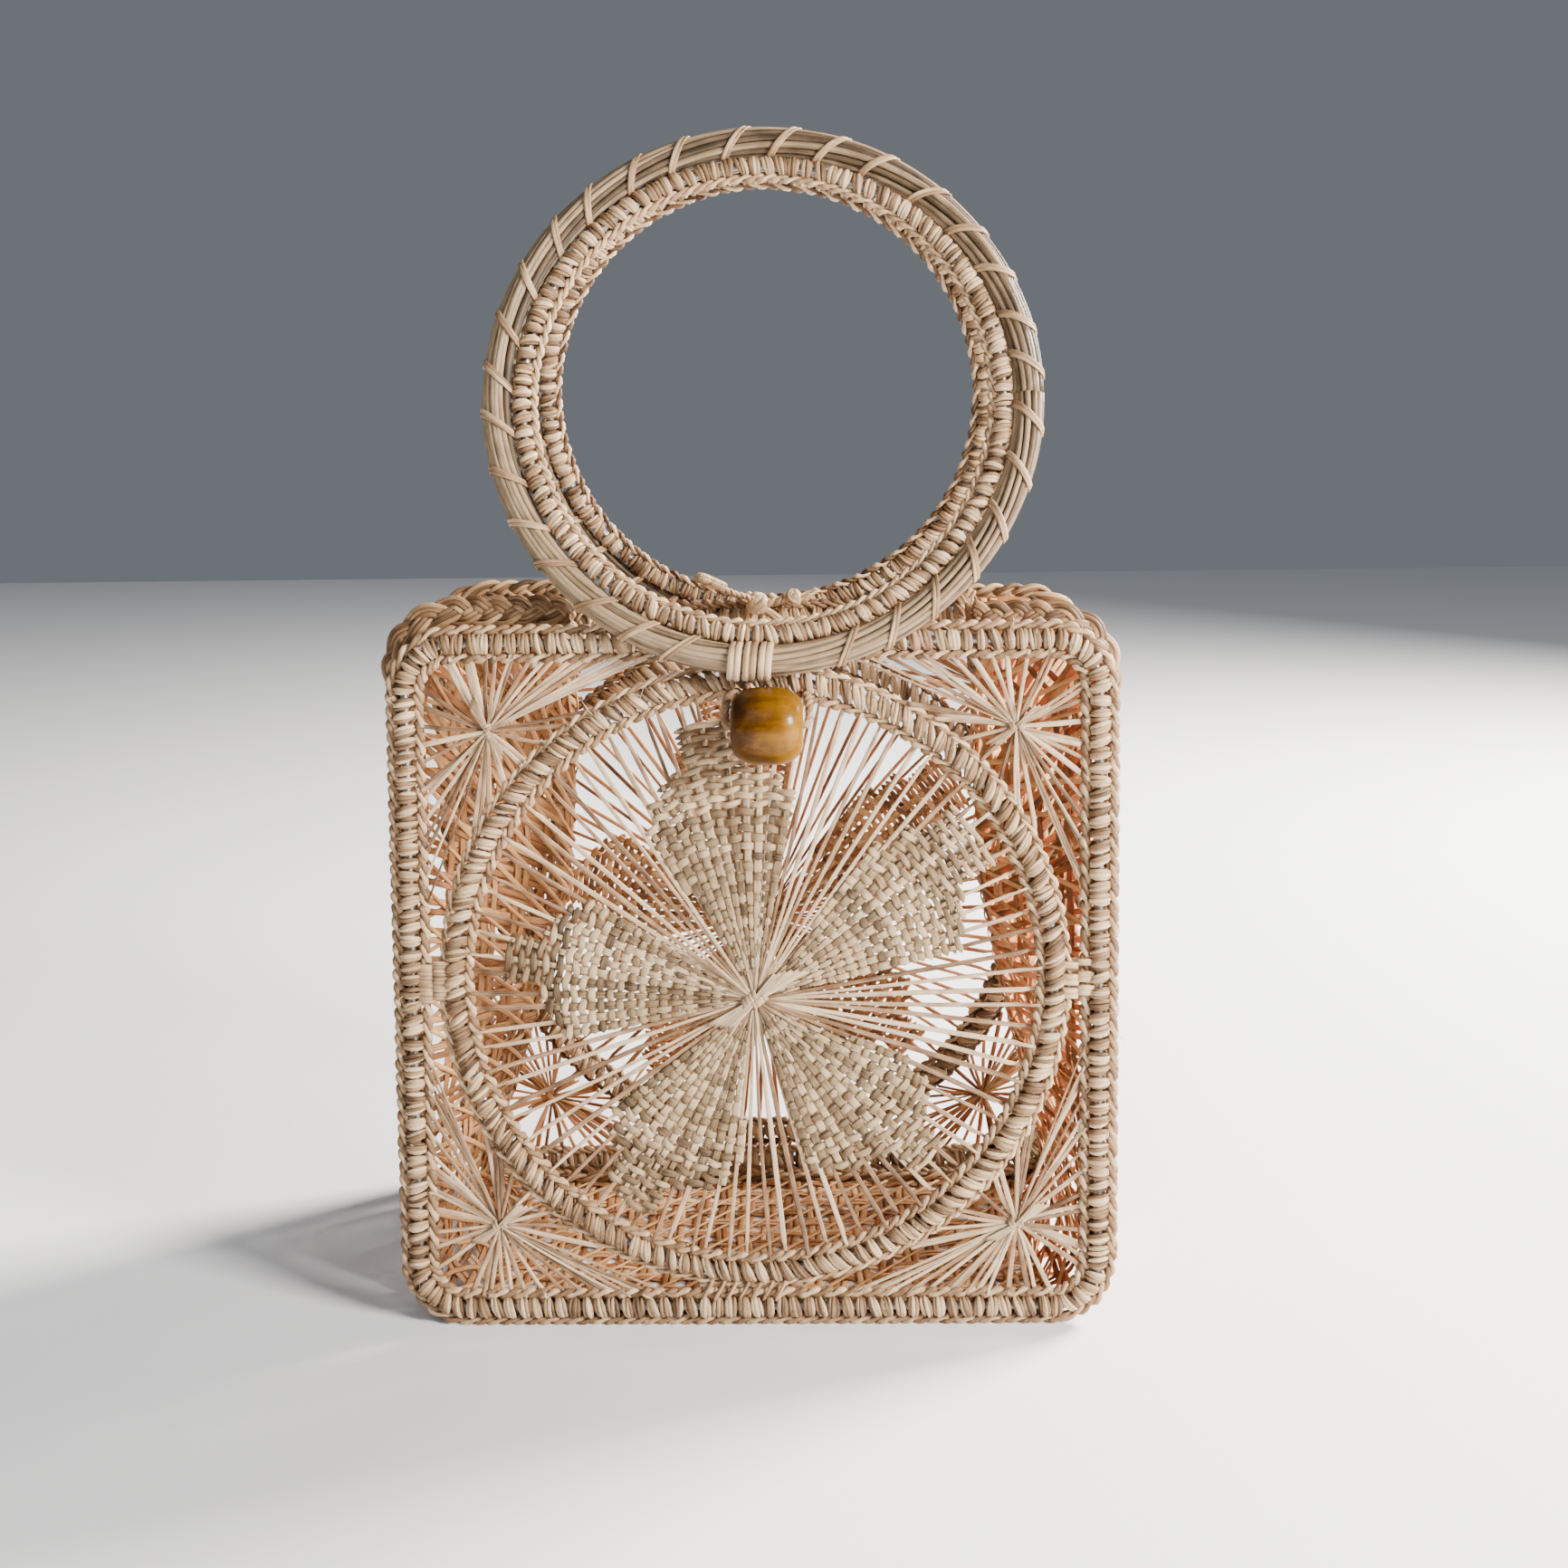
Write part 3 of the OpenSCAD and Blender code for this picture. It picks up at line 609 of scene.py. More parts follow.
def ring_ties(side):
    """Straws that tie the ring to the frame at the left, at the right and at the foot."""
    st = Straws()
    up, right, mid, edge = np.array([0.0, 1, 0]), np.array([1.0, 0, 0]), PANEL_H / 2, 3.6
    for i in range(-2, 3):
        y = mid + 2.3 * i
        band(st, (edge - PANEL_W / 2, y, 0), (-RING - edge, y, 0), 2.0, up, 0.62, 0.4, slant=0.5, strands=2,
             tone=0.5)
    for i, wide in ((-1, 0.85), (0, 0.9), (1.05, 0.55)):
        y = mid + 4.0 * i
        band(st, (RING + edge, y, 0), (PANEL_W / 2 - edge, y, 0), 2.1, up, wide, 0.35, slant=0.5, strands=2,
             tone=0.9)
    for i in range(-3, 4):
        x = 3.6 * i - 4
        band(st, (x - 1.4, edge, 0), (x + 1.4, mid - RING - edge, 0), 1.9, right, 0.5, 0.35, slant=0.3,
             tone=0.6)
    on_panel(side, "ring_ties", st, STRAW, "ring_lashings")


def spokes(side, material):
    """Flat straws from the ring to the flower's centre, drawn together in pairs at the ring."""
    st = Straws()
    index = np.arange(SPOKES)
    angle = (index + 0.5) * 2 * math.pi / SPOKES
    ends = np.stack([np.cos(angle), np.sin(angle)], -1)
    arm = ends * (RING - 4.2) + (0, FLOWER_DROP)
    swirl = np.stack([-ends[:, 1], ends[:, 0]], -1)
    f = np.concatenate([np.linspace(0.015, 0.94, 14), [0.965, 0.985, 1.005]])
    pair = np.where(index % 2 == 0, 1, -1)[:, None] * rng.uniform(0.1, 0.9, (SPOKES, 1))
    bow = np.sin(math.pi * f)[None, :] * rng.uniform(-0.5, 0.5, (SPOKES, 1))
    loose = (pair + rng.uniform(-0.5, 0.5, (SPOKES, 1))) * np.clip(f * 2 - 0.9, 0, 1) ** 1.5
    flat = arm[:, None] * f[None, :, None] + swirl[:, None] * (loose + bow)[..., None]
    z = rng.uniform(-0.7, 0.7, (SPOKES, 1)) * (1 - f) ** 2
    z = z + np.where(f > 0.955, 1.25, 0.0) * np.where(index % 2 == 0, 1, -1)[:, None]
    path = np.concatenate([flat, z[..., None]], -1) + (0, FLOWER_Z, 0)
    wide = (0.32 + 0.34 * np.minimum(1, f * 2.0)) * rng.uniform(0.8, 1.2, (SPOKES, 1))
    wide = wide * (1 - 0.3 * (f > 0.955))
    across = np.concatenate([swirl, np.zeros((SPOKES, 1))], 1)[:, None]
    st.add(path, across, wide, 0.34, CREASED)
    on_panel(side, "flower_straws", st, material, "flower_spokes")


def row_pitch(r):
    """Distance between the rows of a petal's weave at a distance from the flower's centre."""
    return np.interp(r, [10, 24, 40, 54, 60, 80], [4.4, 3.4, 2.9, 2.4, 1.9, 1.7])


def petals(side, material):
    """Flat straws woven over and under the spokes in rows across each petal, closer towards its tip."""
    st = Straws()
    step = 360 / SPOKES
    reach = RING - FLOWER_DROP
    for first, last, tip, end in PETALS:
        radii = [11.0]
        while radii[-1] < end * reach - 1:
            radii.append(radii[-1] + float(row_pitch(radii[-1])))
        radii = np.array(radii)
        rows = np.arange(len(radii))
        shares = np.array([0.1, 0.68, 0.77, 0.82, 0.87, 1]) * end
        starts = [first + 4, first + 1.5, first + 4, (first + tip - 6) / 2 + 1, tip - 5.2, tip - 4.6]
        stops = [last - 4, last - 1.5, last - 4, (last + tip + 6) / 2 - 1, tip + 5.2, tip + 4.6]
        i0 = np.round(np.interp(radii / reach, shares, starts) / step - 0.5).astype(int)
        i1 = np.round(np.interp(radii / reach, shares, stops) / step - 0.5).astype(int)
        for row, r in enumerate(radii):
            spacing = float(row_pitch(r))
            n = max(9, int((i1[row] - i0[row]) * 4.4) + 4)
            index = np.linspace(i0[row] - 0.42, i1[row] + 0.42, n)
            wave = np.cos(math.pi * (index + row))
            a = np.radians((index + 0.5) * step)
            fade = np.minimum(1, np.minimum(index - index[0], index[-1] - index) * 3 + 0.4)
            slip = 0.16 * spacing * np.sin(math.pi * index + 0.6) * (r > 50)
            own = r + 0.2 * rng.uniform(-1, 1) + 0.12 * np.sin(index * 1.3 + row) + slip
            lift = np.clip(step * math.pi / 180 * r * 0.28, 0.45, 0.85)
            z = lift * np.tanh(1.5 * wave) * fade
            path = np.stack([own * np.cos(a), FLOWER_Z + own * np.sin(a), z], -1)
            out = np.stack([np.cos(a), np.sin(a), 0 * a], -1)
            fill = np.interp(r, [20, 45, 60], [0.24, 0.31, 0.42])
            wide = spacing * (fill + 0.12 * np.abs(wave)) * fade * rng.uniform(0.9, 1.08)
            st.add(path, out, wide, 0.38, CREASED)
        for i in range(i0.min(), i1.max() + 1):
            held = rows[(i0 <= i) & (i1 >= i)]
            if len(held) < 3:
                continue
            t = np.linspace(held[0] - 0.8, held[-1] + 0.4, int(4.4 * len(held)))
            r = np.interp(t, rows, radii)
            r = np.where(t < held[0], radii[held[0]] + (t - held[0]) * 4.0, r)
            a = math.radians((i + 0.5) * step)
            wave = -np.cos(math.pi * (i + t))
            pitch = math.radians(step) * r
            path = np.stack([r * math.cos(a), FLOWER_Z + r * math.sin(a), 0.55 * np.tanh(1.5 * wave)], -1)
            widest = np.interp(r, [30, 50, 62], [1.25, 1.1, 0.6])
            wide = np.minimum(pitch * (0.43 + 0.06 * wave), widest)
            st.add(path, (-math.sin(a), math.cos(a), 0), wide * rng.uniform(0.9, 1.1), 0.4, CREASED)
    on_panel(side, "flower_weave", st, material, "flower_petals")


def flower_knot(side, material):
    """Straws that cross over the middle of the flower, wound once together."""
    st = Straws()
    d = np.array([math.cos(math.radians(40)), math.sin(math.radians(40)), 0])
    n = np.array([-d[1], d[0], 0])
    t = np.linspace(0, 4, 16)
    for k in range(6):
        way = (k - 2.5) * 1.1
        line = [np.array([0, FLOWER_Z, 2.1 - abs(x) / 11]) + d * x + n * way * x / 14
                for x in (-15 + k, -7, 0, 7, 17 - 1.5 * k)]
        st.add(smooth(np.array(line), t), n, 0.85 - 0.12 * np.abs(t - 2), 0.34, CREASED, tone=0.7)
    band(st, (0, FLOWER_Z, 0), (0, FLOWER_Z, 0), 2.3, d, 0.75, 0.35, slant=1.2, strands=4, tone=0.7)
    on_panel(side, "flower_knot", st, material, "flower_tie")


def fan_ends():
    """Ends of a fan's straws with the panel's corner at the origin, as in part.scad."""
    c, centre = np.array(FAN), np.array([PANEL_W, PANEL_H]) / 2
    first, edge = CORNER * 0.5 + 4.1, 3.6
    ends = [(edge, first + FAN_PITCH * i) for i in range(12)]
    ends += [(first + FAN_PITCH * (i + 0.5), edge) for i in range(11)]
    mid = math.atan2(c[1] - centre[1], c[0] - centre[0])
    ends += [tuple(centre + (RING + 3.9) * np.array([math.cos(mid + a), math.sin(mid + a)]))
             for a in np.radians(5.5 * np.arange(-3, 4))]
    return np.array(ends)


def fan(side, material, across, up):
    """The straws of one corner. Some of them have a second, loose straw beside them."""
    names = {(-1, 1): "top_left", (1, 1): "top_right", (-1, -1): "bottom_left", (1, -1): "bottom_right"}
    name = names[across, up]
    st = Straws()
    c = np.array(FAN)
    ends = fan_ends()
    m = len(ends)
    f = np.concatenate([np.linspace(0.0, 0.93, 9), [0.975, 1.01]])
    for sub in (0, 1):
        keep = np.ones(m, bool) if sub == 0 else rng.uniform(0, 1, m) < 0.35
        tip = ends[keep]
        count = len(tip)
        spread = unit(tip - c)[:, ::-1] * (1, -1) * (1.5 * sub + rng.uniform(-0.8, 0.8, (count, 1)))
        tip = tip + spread
        bow = (np.sin(math.pi * f) * 0.4)[None, :, None]
        flat = c + (tip - c)[:, None] * f[None, :, None] + spread[:, None] * bow
        z = rng.uniform(-1.4, 1.4, (count, 1)) * (1 - f) ** 2
        z = z + np.where(f > 0.95, rng.choice([-1.25, 1.25], (count, 1)), 0)
        path = np.concatenate([flat, z[..., None]], -1)
        far = np.clip(34 / np.linalg.norm(tip - c, axis=1), 0.6, 1)[:, None]
        wide = (0.42 + 0.30 * np.minimum(1, 2.2 * f) - 0.2 * (f > 0.95)) * far
        wide = wide * rng.uniform(0.72, 1.15, (count, 1))
        side_way = np.concatenate([unit(tip - c)[:, ::-1] * (1, -1), np.zeros((count, 1))], 1)[:, None]
        path[..., 0] = across * (path[..., 0] - PANEL_W / 2) * -1
        path[..., 1] = path[..., 1] if up < 0 else PANEL_H - path[..., 1]
        side_way = side_way * (-across, -up, 1)
        st.add(path, side_way, wide, 0.34, CREASED)
    on_panel(side, f"fan_{name}_straws", st, material, f"fan_{name}")


def fan_knots(side, material):
    """Straws that tie each fan at its crossing, along the slope that the eye follows from the corner."""
    st = Straws()
    for across in (-1, 1):
        for up in (-1, 1):
            c = np.array([across * (PANEL_W / 2 - FAN[0]), FAN[1] if up < 0 else PANEL_H - FAN[1], 0])
            slope = math.radians(38 if across * up > 0 or up < 0 else 118)
            d = np.array([math.cos(slope), math.sin(slope), 0])
            n = np.array([-d[1], d[0], 0])
            for k in range(4):
                way = (k - 1.5) * 0.9
                line = [c + d * x + n * way * x / 9 + NORMAL * (1.75 - abs(x) / 9)
                        for x in (-10 + k, -5, 0, 5, 11 - k)]
                t = np.linspace(0, 4, 14)
                st.add(smooth(np.array(line), t), n, 0.62 - 0.08 * np.abs(t - 2), 0.3, CREASED, tone=0.6)
            band(st, c, c, 1.8, d, 0.5, 0.32, slant=1.1, strands=2, tone=0.6)
    on_panel(side, "fan_knots", st, material, "fan_ties")


def braid(st, at, length, width, thick, period=19.5):
    """A flat braid of three strands. at gives the middle, the width and the thickness directions."""
    straws = 3
    s = np.linspace(0, length, max(16, int(length / period * 20)))
    pos, across, up = at(s)
    strand = width * 0.46
    for k in range(3):
        phase = 2 * math.pi * (s / period + k / 3)
        middle = pos + across * ((width - strand) / 2 * np.sin(phase))[:, None]
        middle = middle + up * (thick * 0.27 * np.sin(2 * phase))[:, None]
        lateral = unit(np.cross(up, np.gradient(middle, axis=0)))
        for j in range(straws):
            place = (j - (straws - 1) / 2) * strand / straws
            crown = up * (thick * 0.12 * (1 - abs(j - (straws - 1) / 2)))
            wide = strand / straws * rng.uniform(0.52, 0.64)
            st.add(middle + lateral * place + crown, lateral, wide, thick * 0.19)


def edge_braid(side):
    """The braid sewn behind the frame, open along the mouth of the purse."""
    st = Straws()
    run = np.linspace(0, FRAME.length, 4001)
    pos, _, _ = FRAME.at(run)
    top = pos[:, 1] > PANEL_H - 0.5
    right = run[top & (pos[:, 0] > END_RIGHT)].max()
    left = run[top & (pos[:, 0] < -END_LEFT)].min()
    length = FRAME.length - (left - right)

    def at(s):
        # Flat behind the foot bar, turned outward at the sides and upward at the top, most at its left.
        p, out, _ = FRAME.at(left + s)
        facing = [-1.0, 0.0, 1.0]
        tilt = np.radians(np.interp(out[:, 1], facing, (0, 36, 66)))[:, None]
        place = np.interp(out[:, 1], facing, (2.2, 3.8, 6.9))[:, None]
        behind = np.interp(out[:, 1], facing, (-7.1, -6.2, -5.4))[:, None]
        raised = np.clip((-p[:, :1] - 40) / 20, 0, 1) * np.clip(out[:, 1:2], 0, 1)
        place, tilt = place + 2.6 * raised, tilt + 0.2 * raised
        across = -np.cos(tilt) * NORMAL + np.sin(tilt) * out
        return p + out * place + NORMAL * behind, across, np.cos(tilt) * out + np.sin(tilt) * NORMAL

    braid(st, at, length, 9.0, 3.6, period=18.0)
    on_panel(side, "edge_braiding", st, BRAID, "edge_braid")


# ---- Gusset

# The inward fold of a side net, as shares of its depth and of the panel's height.
FOLD = [(0.08, 0.94), (0.08, 0.87), (0.09, 0.8), (0.1, 0.74), (0.12, 0.67), (0.15, 0.59), (0.24, 0.5),
        (0.36, 0.4), (0.52, 0.28), (0.68, 0.16), (0.76, 0.07)]


def half_gap(z):
    """Half the distance between the two panels' edge braids at a height."""
    return DEPTH / 2 - np.maximum(z - EDGE, 0) * math.tan(math.radians(LEAN)) - WRAP - BRAID_BACK + NET_LAP


def net_surface(first, sign):
    """Points of a side net by place down it and place across it from front to rear."""
    half, top, foot = PANEL_W / 2, EDGE + PANEL_H + 5, (PANEL_W / 2 - CORNER, 0.6)
    edge = [(first, top), ((first + half - CORNER) / 2, top), (half - CORNER, top - 0.5), (half - 3, top - 9),
            (half + 1, EDGE + PANEL_H - CORNER - 8)]
    edge += [(half + 1, EDGE + share * PANEL_H) for share in (0.72, 0.56, 0.4, 0.25, 0.12)]
    edge += [(half - 3, EDGE), foot]
    fold = [(first + (half + 1 - first) * x, EDGE + z * PANEL_H) for x, z in FOLD] + [foot]
    edge, fold = np.array(edge), np.array(fold)
    middle = (edge + fold) / 2
    run = np.concatenate([[0], np.cumsum(np.linalg.norm(np.diff(middle, axis=0), axis=1))])

    def at(a, v):
        t = np.interp(a, run, np.arange(len(run)))
        i = np.arange(len(run))
        share = (1 - np.abs(v) ** 1.5)[..., None]
        e = np.stack([np.interp(t, i, edge[:, k]) for k in (0, 1)], -1)
        f = np.stack([np.interp(t, i, fold[:, k]) for k in (0, 1)], -1)
        p = e + (f - e) * share
        gap = half_gap(p[..., 1])
        return np.stack([sign * p[..., 0], v * gap, p[..., 1]], -1)

    return at, run


def on_surface(at, a, v):
    """Points of a surface with the directions down it, across it and out of it."""
    p = at(a, v)
    da, dv = at(a + 0.5, v) - at(a - 0.5, v), at(a, v + 0.01) - at(a, v - 0.01)
    return p, unit(da), unit(dv), unit(np.cross(da, dv))


def woven(st, at, a0, a1):
    """Open plain weave of paired flat straws over a surface, with loose diagonal straws over it."""
    wide, gap, columns = 1.05, 7.6, 11
    rows = np.arange(a0 + gap / 2, a1, gap)
    lines = np.linspace(-0.98, 0.98, columns + 1)
    for c, v0 in enumerate(lines):
        for sub in (-1, 1):
            a = np.linspace(a0, a1, int((a1 - a0) / 1.8))
            v = np.clip(v0 + sub * 0.026 + 0.006 * np.sin(a / 9 + c), -1, 1)
            p, da, dv, normal = on_surface(at, a, v)
            lift = 0.45 * np.cos(math.pi * ((a - rows[0]) / gap + c))
            st.add(p + normal * lift[:, None], dv, wide * rng.uniform(0.85, 1.1), 0.22, CREASED)
    for r, a_row in enumerate(rows):
        for sub in (-1, 1):
            v = np.linspace(-1, 1, columns * 5 + 1)
            a = np.clip(a_row + sub * 1.25 + 0.4 * np.sin(v * 9 + r), a0, a1)
            p, da, dv, normal = on_surface(at, a, v)
            lift = -0.45 * np.cos(math.pi * ((v + 0.98) / (lines[1] - lines[0]) + r))
            st.add(p + normal * lift[:, None], da, wide * rng.uniform(0.85, 1.1), 0.22, CREASED)
    for way in (-1, 1):
        for a_mid in np.arange(a0 - 30, a1 + 30, gap * 1.15):
            v = np.linspace(-1, 1, 45)
            a = a_mid + way * v * 36 + rng.uniform(-1, 1)
            keep = (a > a0) & (a < a1)
            if keep.sum() > 5:
                p, da, dv, normal = on_surface(at, a[keep], v[keep])
                st.add(p + normal * 0.75 * way, da, rng.uniform(0.5, 0.9), 0.2, tone=0.8)


# What crosses from one panel to the other has its place baked into its mesh, and follows neither panel.
SPLAY = ("rear_panel", "front_panel", (0, 0.026, 0), (0, -0.026, 0))


def side_net(name, first, sign):
    """One side of the gusset: a woven net, and the braid that ends it inside the mouth."""
    at, run = net_surface(first, sign)
    start = run[0] + 0.45 * (run[1] - run[0])
    st = Straws()
    woven(st, at, start, run[-1] - 0.3)
    piece(f"gusset_{name}_netting", st, as_built, None, NET, [f"gusset_{name}_net"], blend=SPLAY)
    st = Straws()
    places = np.linspace(-1, 1, 60)
    line = at(np.full_like(places, start * 0.5), places)
    lengths = np.concatenate([[0], np.cumsum(np.linalg.norm(np.diff(line, axis=0), axis=1))])

    def end_line(s):
        v = np.interp(s, lengths, places)
        p, da, _, normal = on_surface(at, np.full_like(v, start * 0.5), v)
        return p + (0, 0, 2.5), da, normal

    braid(st, end_line, lengths[-1], 8.5, 3.4)
    piece(f"gusset_{name}_end_braiding", st, as_built, None, BRAID, [f"gusset_{name}_end_braid"],
          blend=SPLAY)


def floor_net():
    """The net between the two foot bars, which the rear panel carries."""
    deep, run = half_gap(0.0), PANEL_W / 2 - CORNER

    def at(a, v):
        return np.stack([a - run, v * deep, 0.7 + 0 * a], -1)

    st = Straws()
    woven(st, at, 0.0, 2 * run)
    piece("gusset_floor_netting", st, as_built, None, NET, ["gusset_floor_net"], "rear_panel")


# ---- Handles

def handle(side):
    """A ring handle: stitches over its wire, a bundle of stems round them, and spaced bindings."""
    body = side + "_handle"
    st = Straws()
    stitches(st, HANDLE_LOOP, HANDLE_STITCHES, HANDLE_WRAP)
    chain(st, HANDLE_LOOP, HANDLE_STITCHES, -HANDLE_CHAIN_OFF, HANDLE_CHAIN)
    piece(body + "_stitches", st, front_handle, MIRRORED[side], STRAW, [body + "_wrap"], body)
    st = Straws()
    t = np.linspace(0, 2 * math.pi, 181)
    out = np.stack([np.cos(t), np.sin(t), 0 * t], -1)
    for count, r, size in ((15, BUNDLE - 0.82, 0.84), (8, 1.9, 1.15)):
        for k in range(count):
            turn = 2 * math.pi * k / count + 0.8 * t + 0.15 * np.sin(3 * t + k)
            wave = r + 0.1 * np.sin(5 * t + 2 * k)
            path = out * (HANDLE_R + wave * np.cos(turn))[:, None] + NORMAL * (wave * np.sin(turn))[:, None]
            st.add(path, NORMAL, size * rng.uniform(0.85, 1.1), size * rng.uniform(0.85, 1.05))
    piece(body + "_stems", st, front_handle, MIRRORED[side], STEMS, [body + "_bundle"], body)
    st = Straws()
    for i in range(1, HANDLE_BINDINGS - 1):
        a = (i + 0.5 + rng.uniform(-0.12, 0.12)) * 2 * math.pi / HANDLE_BINDINGS - math.pi / 2
        for sub in (0, 1):
            phi = np.linspace(-0.2, 2 * math.pi + 0.2, 25) + math.pi
            slip = -0.05 * np.cos(phi) + 0.015 * sub
            place = a + slip
            d = np.stack([np.cos(place), np.sin(place), 0 * place], -1)
            reach = BUNDLE + 0.32 + 0.1 * sub
            path = d * (HANDLE_R + reach * np.cos(phi))[:, None] + NORMAL * (reach * np.sin(phi))[:, None]
            st.add(path, np.stack([-d[:, 1], d[:, 0], d[:, 2]], -1), 0.6, 0.24, CREASED, tone=0.5)
    piece(body + "_bindings", st, front_handle, MIRRORED[side], STRAW, [body + "_whipping"], body)


def handle_lashing(side):
    """Wraps that hold a handle's bundle against the panel's top bar."""
    st = Straws()
    for x in (-3.6, 0.7, 5.0):
        band(st, (x, PIVOT_W - 0.2, PIVOT_OUT), (x + 1.2, PANEL_H - 3.5, 1.0), BUNDLE + 0.75,
             np.array([1.0, 0, 0]), 1.05, 0.7, slant=1.3, strands=2, tone=0.75)
    ball(st, (-12.5, PIVOT_W + 3.4, 5.2), 2.6, 8, tone=0.6)
    rope(st, [(-4, PIVOT_W + 4, 5.5), (-8, PIVOT_W + 4.6, 5.6), (-13, PIVOT_W + 3.4, 5.2)], 1.0, 5, tone=0.6)
    rope(st, [(-13, PIVOT_W + 3.4, 5.2), (-17, PIVOT_W + 4.2, 4.2), (-19.5, PIVOT_W + 6.5, 3.2)], 0.7, 5,
         tone=0.6)
    on_panel(side, "handle_ties", st, STRAW, "handle_lashing")


# ---- Bead and closure

def lathe(name, outline_points, axis_place, material, body, node):
    """A round body about a line along X, from its half outline."""
    count = 96
    p = np.array(outline_points)
    t = np.linspace(0, 2 * math.pi, count + 1)[:-1]
    centre = front_panel(np.array([axis_place]))[0]
    x = np.broadcast_to(p[:, :1], (len(p), count))
    co = np.stack([x, p[:, 1:] * np.cos(t), p[:, 1:] * np.sin(t)], -1) + centre
    i, j = np.arange(len(p) - 1)[:, None], np.arange(count)[None, :]
    j2 = (j + 1) % count
    quads = np.stack([i * count + j, (i + 1) * count + j, (i + 1) * count + j2, i * count + j2], -1)
    quads = quads.reshape(-1, 4)
    me = bpy.data.meshes.new(name)
    me.from_pydata((co.reshape(-1, 3) * 0.001).tolist(), [], quads.tolist())
    me.shade_smooth()
    me.materials.append(material)
    obj = bpy.data.objects.new(name, me)
    bpy.context.collection.objects.link(obj)
    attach(obj, body)
    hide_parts(node)


def bead():
    """A barrel with rounded rims and a hole along it."""
    half, hole = BEAD_W / 2, 1.6
    body = []
    for x in np.linspace(-1, 1, 41):
        rim = 1 - 0.16 * max(0, abs(x) - 0.93) / 0.07
        body.append((x * half, BEAD_R * (1 - 0.36 * abs(x) ** 3.2) * rim))
    wall = [(half - 0.5, 3.4), (half - 1.2, 2.2), (half - 2.5, hole)]
    outline_points = [(-x, r) for x, r in wall[::-1]] + body + wall
    outline_points = outline_points + [outline_points[0]]
    lathe("bead_turned", outline_points, (BEAD_X, BEAD_UP, BEAD_OUT), BEAD, "bead", "bead")


def bead_cord():
    """The cord goes through the bead, and its two ends go back to the ring."""
    st = Straws()
    leg = BEAD_W / 2 + 1.6
    up = BEAD_ANCHOR - BEAD_UP
    points = [(-leg + 0.8, up - 0.6, -BEAD_OUT + 1.9), (-leg, up * 0.7, -BEAD_OUT * 0.55), (-leg, 1.2, -2.0),
              (-leg + 2.4, 0, 0)]
    points += [(0, 0, 0)] + [(-x, y, z) for x, y, z in points[::-1]]
    rope(st, [(BEAD_X + x, BEAD_UP + y, BEAD_OUT + z) for x, y, z in points], 1.35, 4.5, tone=0.7, samples=8)
    piece("bead_straw_cord", st, front_panel, None, STRAW, ["bead_cord"], "bead_cord")


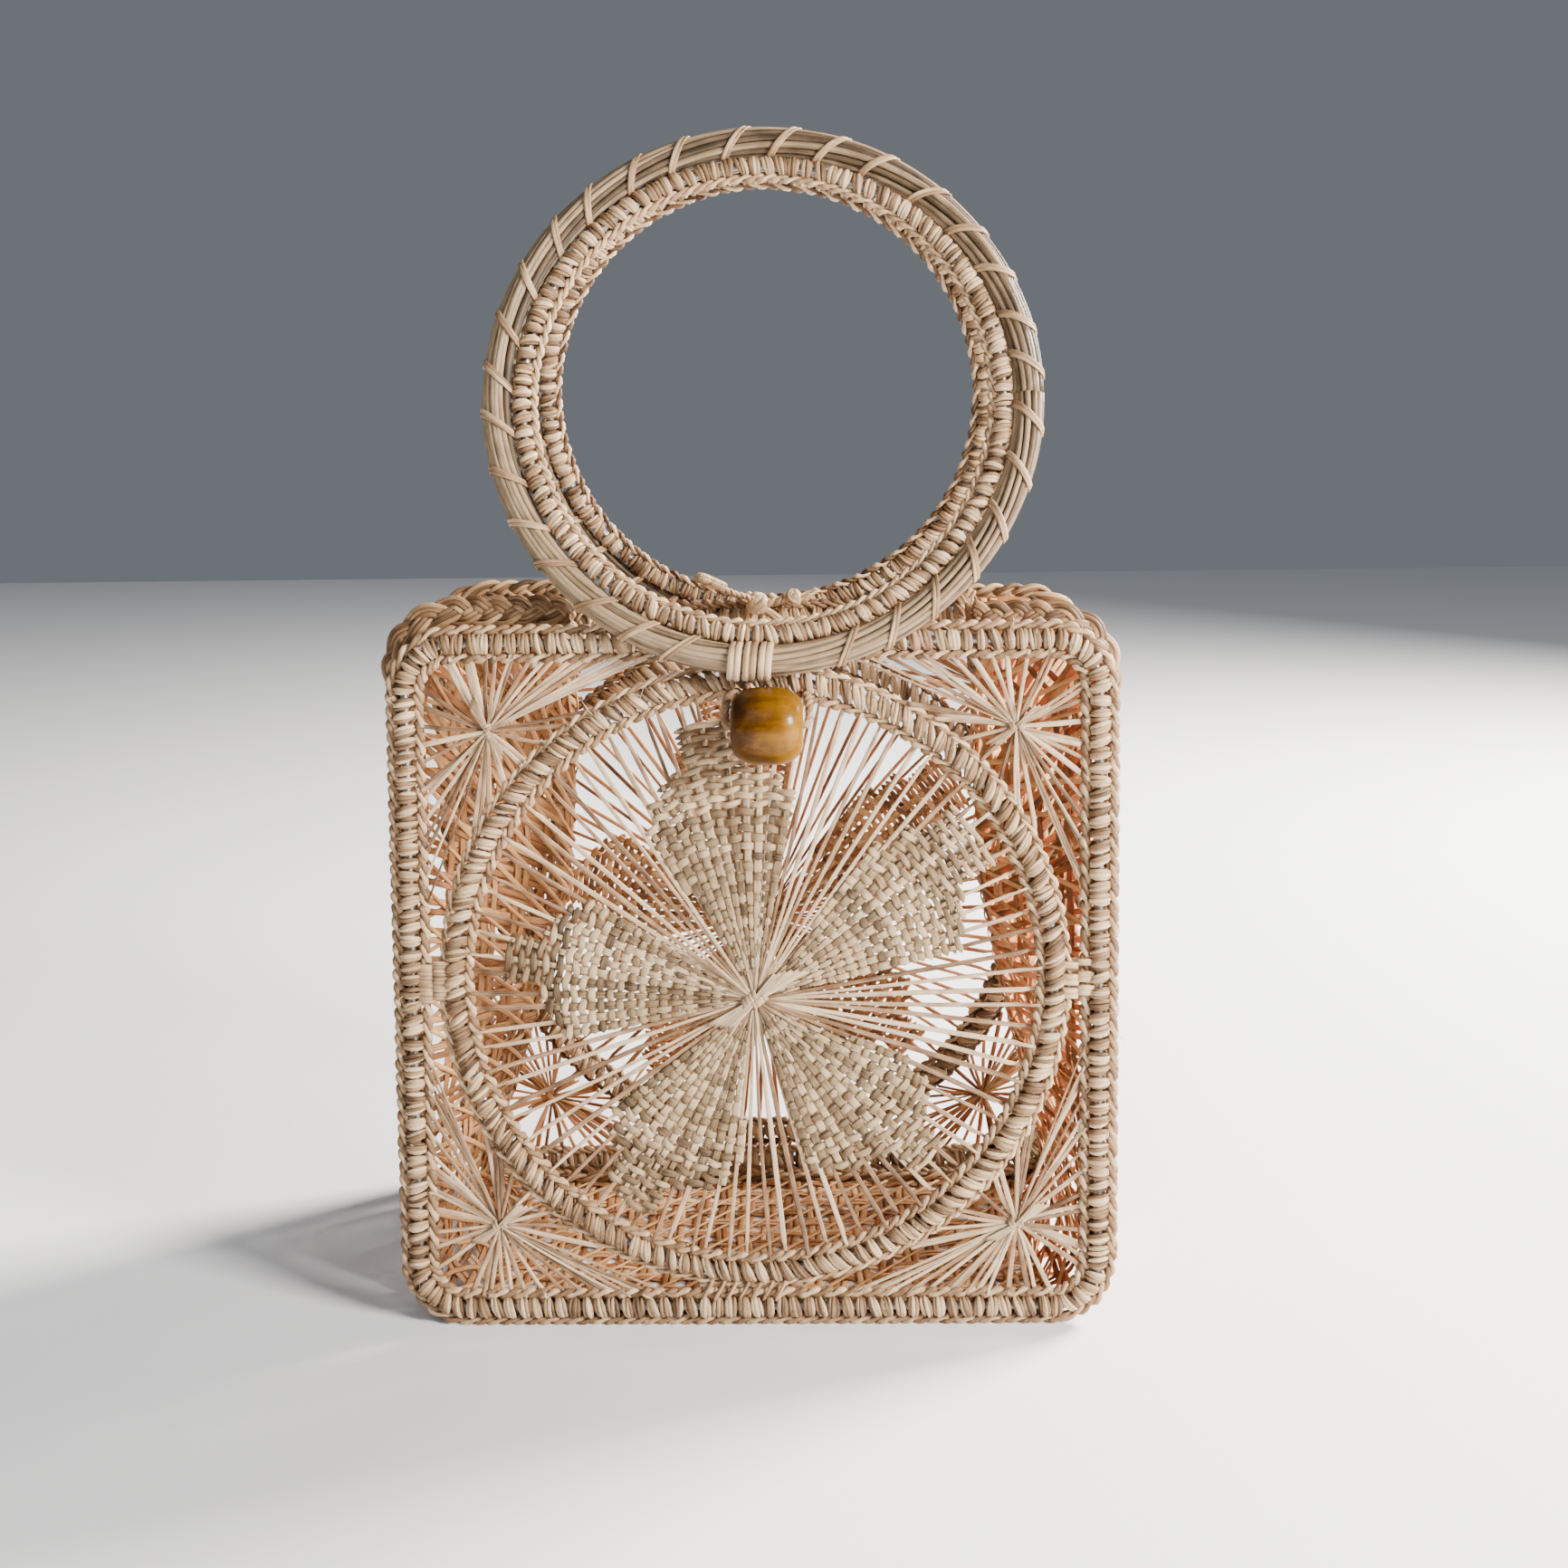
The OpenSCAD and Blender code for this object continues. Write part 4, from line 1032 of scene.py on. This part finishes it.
def closure():
    """The knot tied to the rear bar, its frayed tail, and the loop that goes over the bead."""
    st = Straws()
    ball(st, (0, KNOT_UP, KNOT_OUT), 3.5, 10, tone=0.6)
    for x in (-4, 10):
        for sub in (-0.8, 0.8):
            line = [(0.4 * sub, KNOT_UP + 0.5, KNOT_OUT + 1.5), (x * 0.5 + sub, KNOT_UP - 4, KNOT_OUT + 3.8),
                    (x + sub, PIVOT_W + 1.5, -1.5), (x + sub, PIVOT_W - 0.5, 1.2)]
            rope(st, line, 1.0, 30, 1, tone=0.85)
    piece("closure_fastening", st, front_panel, 1, STRAW, ["closure_anchor"], "rear_panel")
    st = Straws()
    line = [(2.6, KNOT_UP, KNOT_OUT), (6, KNOT_UP + 0.6, KNOT_OUT), (10, KNOT_UP + 1.5, KNOT_OUT)]
    rope(st, line, 1.5, 5, tone=0.6)
    start = np.array([11.5, KNOT_UP + 1.7, KNOT_OUT])
    ball(st, start, 2.7, 9, tone=0.6)
    for _ in range(12):
        end = np.array([17 + rng.uniform(-2, 3), KNOT_UP + 2.5 + rng.uniform(-2.5, 3.2),
                        KNOT_OUT + rng.uniform(-2.5, 2.5)])
        rope(st, [start, (start + end) / 2 + rng.uniform(-0.6, 0.6, 3), end], 0.6, 30, 1)
    piece("closure_tail_ends", st, front_panel, 1, STRAW, ["closure_tail"], "rear_panel")

    knot = front_panel(np.array([[0, KNOT_UP, KNOT_OUT]]))[0] * (1, -1, 1)
    a, rise = math.radians(LOOP_TURN), math.radians(LOOP_RISE)
    ahead = np.array([math.cos(rise) * math.cos(a), math.cos(rise) * math.sin(a), math.sin(rise)])
    sideways = np.array([-math.sin(a), math.cos(a), 0])
    over = np.cross(ahead, sideways)
    st = Straws()
    for off in (-0.8, 0.8):
        line = [knot + ahead * s + sideways * off * (0.6 + s / 20) + over * 0.5 * math.sin(s / 3)
                for s in (3.2, 7, 12, LOOP_WRAP_START)]
        rope(st, line, 1.0, 5, tone=0.55)
    piece("closure_loop_straw", st, as_built, None, STRAW, ["closure_loop_cord"], "closure_loop")
    st = Straws()
    # The wrapped end is a narrow loop with a slit along its middle.
    for k in range(26):
        f = k / 25
        if 0.3 < f < 0.7:
            bend_angle = (f - 0.5) / 0.2 * math.pi / 2
            c = ahead * (LOOP_WRAP_END + 1.4 * math.cos(bend_angle)) + sideways * 1.5 * math.sin(bend_angle)
            way = -ahead * math.sin(bend_angle) + sideways * math.cos(bend_angle)
        else:
            share = f / 0.3 if f <= 0.3 else (1 - f) / 0.3
            along = LOOP_WRAP_START + (LOOP_WRAP_END - LOOP_WRAP_START) * share
            c = ahead * along + sideways * (-1.5 if f <= 0.3 else 1.5)
            way = ahead if f <= 0.3 else -ahead
        other = np.cross(way, over)
        phi = np.linspace(0, 2 * math.pi, 11)
        path = knot + c + 1.15 * (np.cos(phi)[:, None] * other + np.sin(phi)[:, None] * over)
        st.add(path, way, 0.62, 0.34, tone=0.6)
    piece("closure_loop_stitches", st, as_built, None, STRAW, ["closure_loop_wrap"], "closure_loop")


for side in MIRRORED:
    frame_bar(side)
    ring_bar(side)
    ring_ties(side)
    straws_of = SPOKE if side == "front" else INSIDE
    spokes(side, straws_of)
    petals(side, WEAVE if side == "front" else INSIDE)
    flower_knot(side, straws_of)
    for across in (-1, 1):
        for up in (-1, 1):
            fan(side, straws_of, across, up)
    fan_knots(side, straws_of)
    edge_braid(side)
    handle(side)
    handle_lashing(side)
side_net("left", END_LEFT, -1)
side_net("right", END_RIGHT, 1)
floor_net()
bead()
bead_cord()
closure()
for name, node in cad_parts.items():
    if name.endswith("_wire"):
        for held in node.material_slots:
            held.material = WIRE
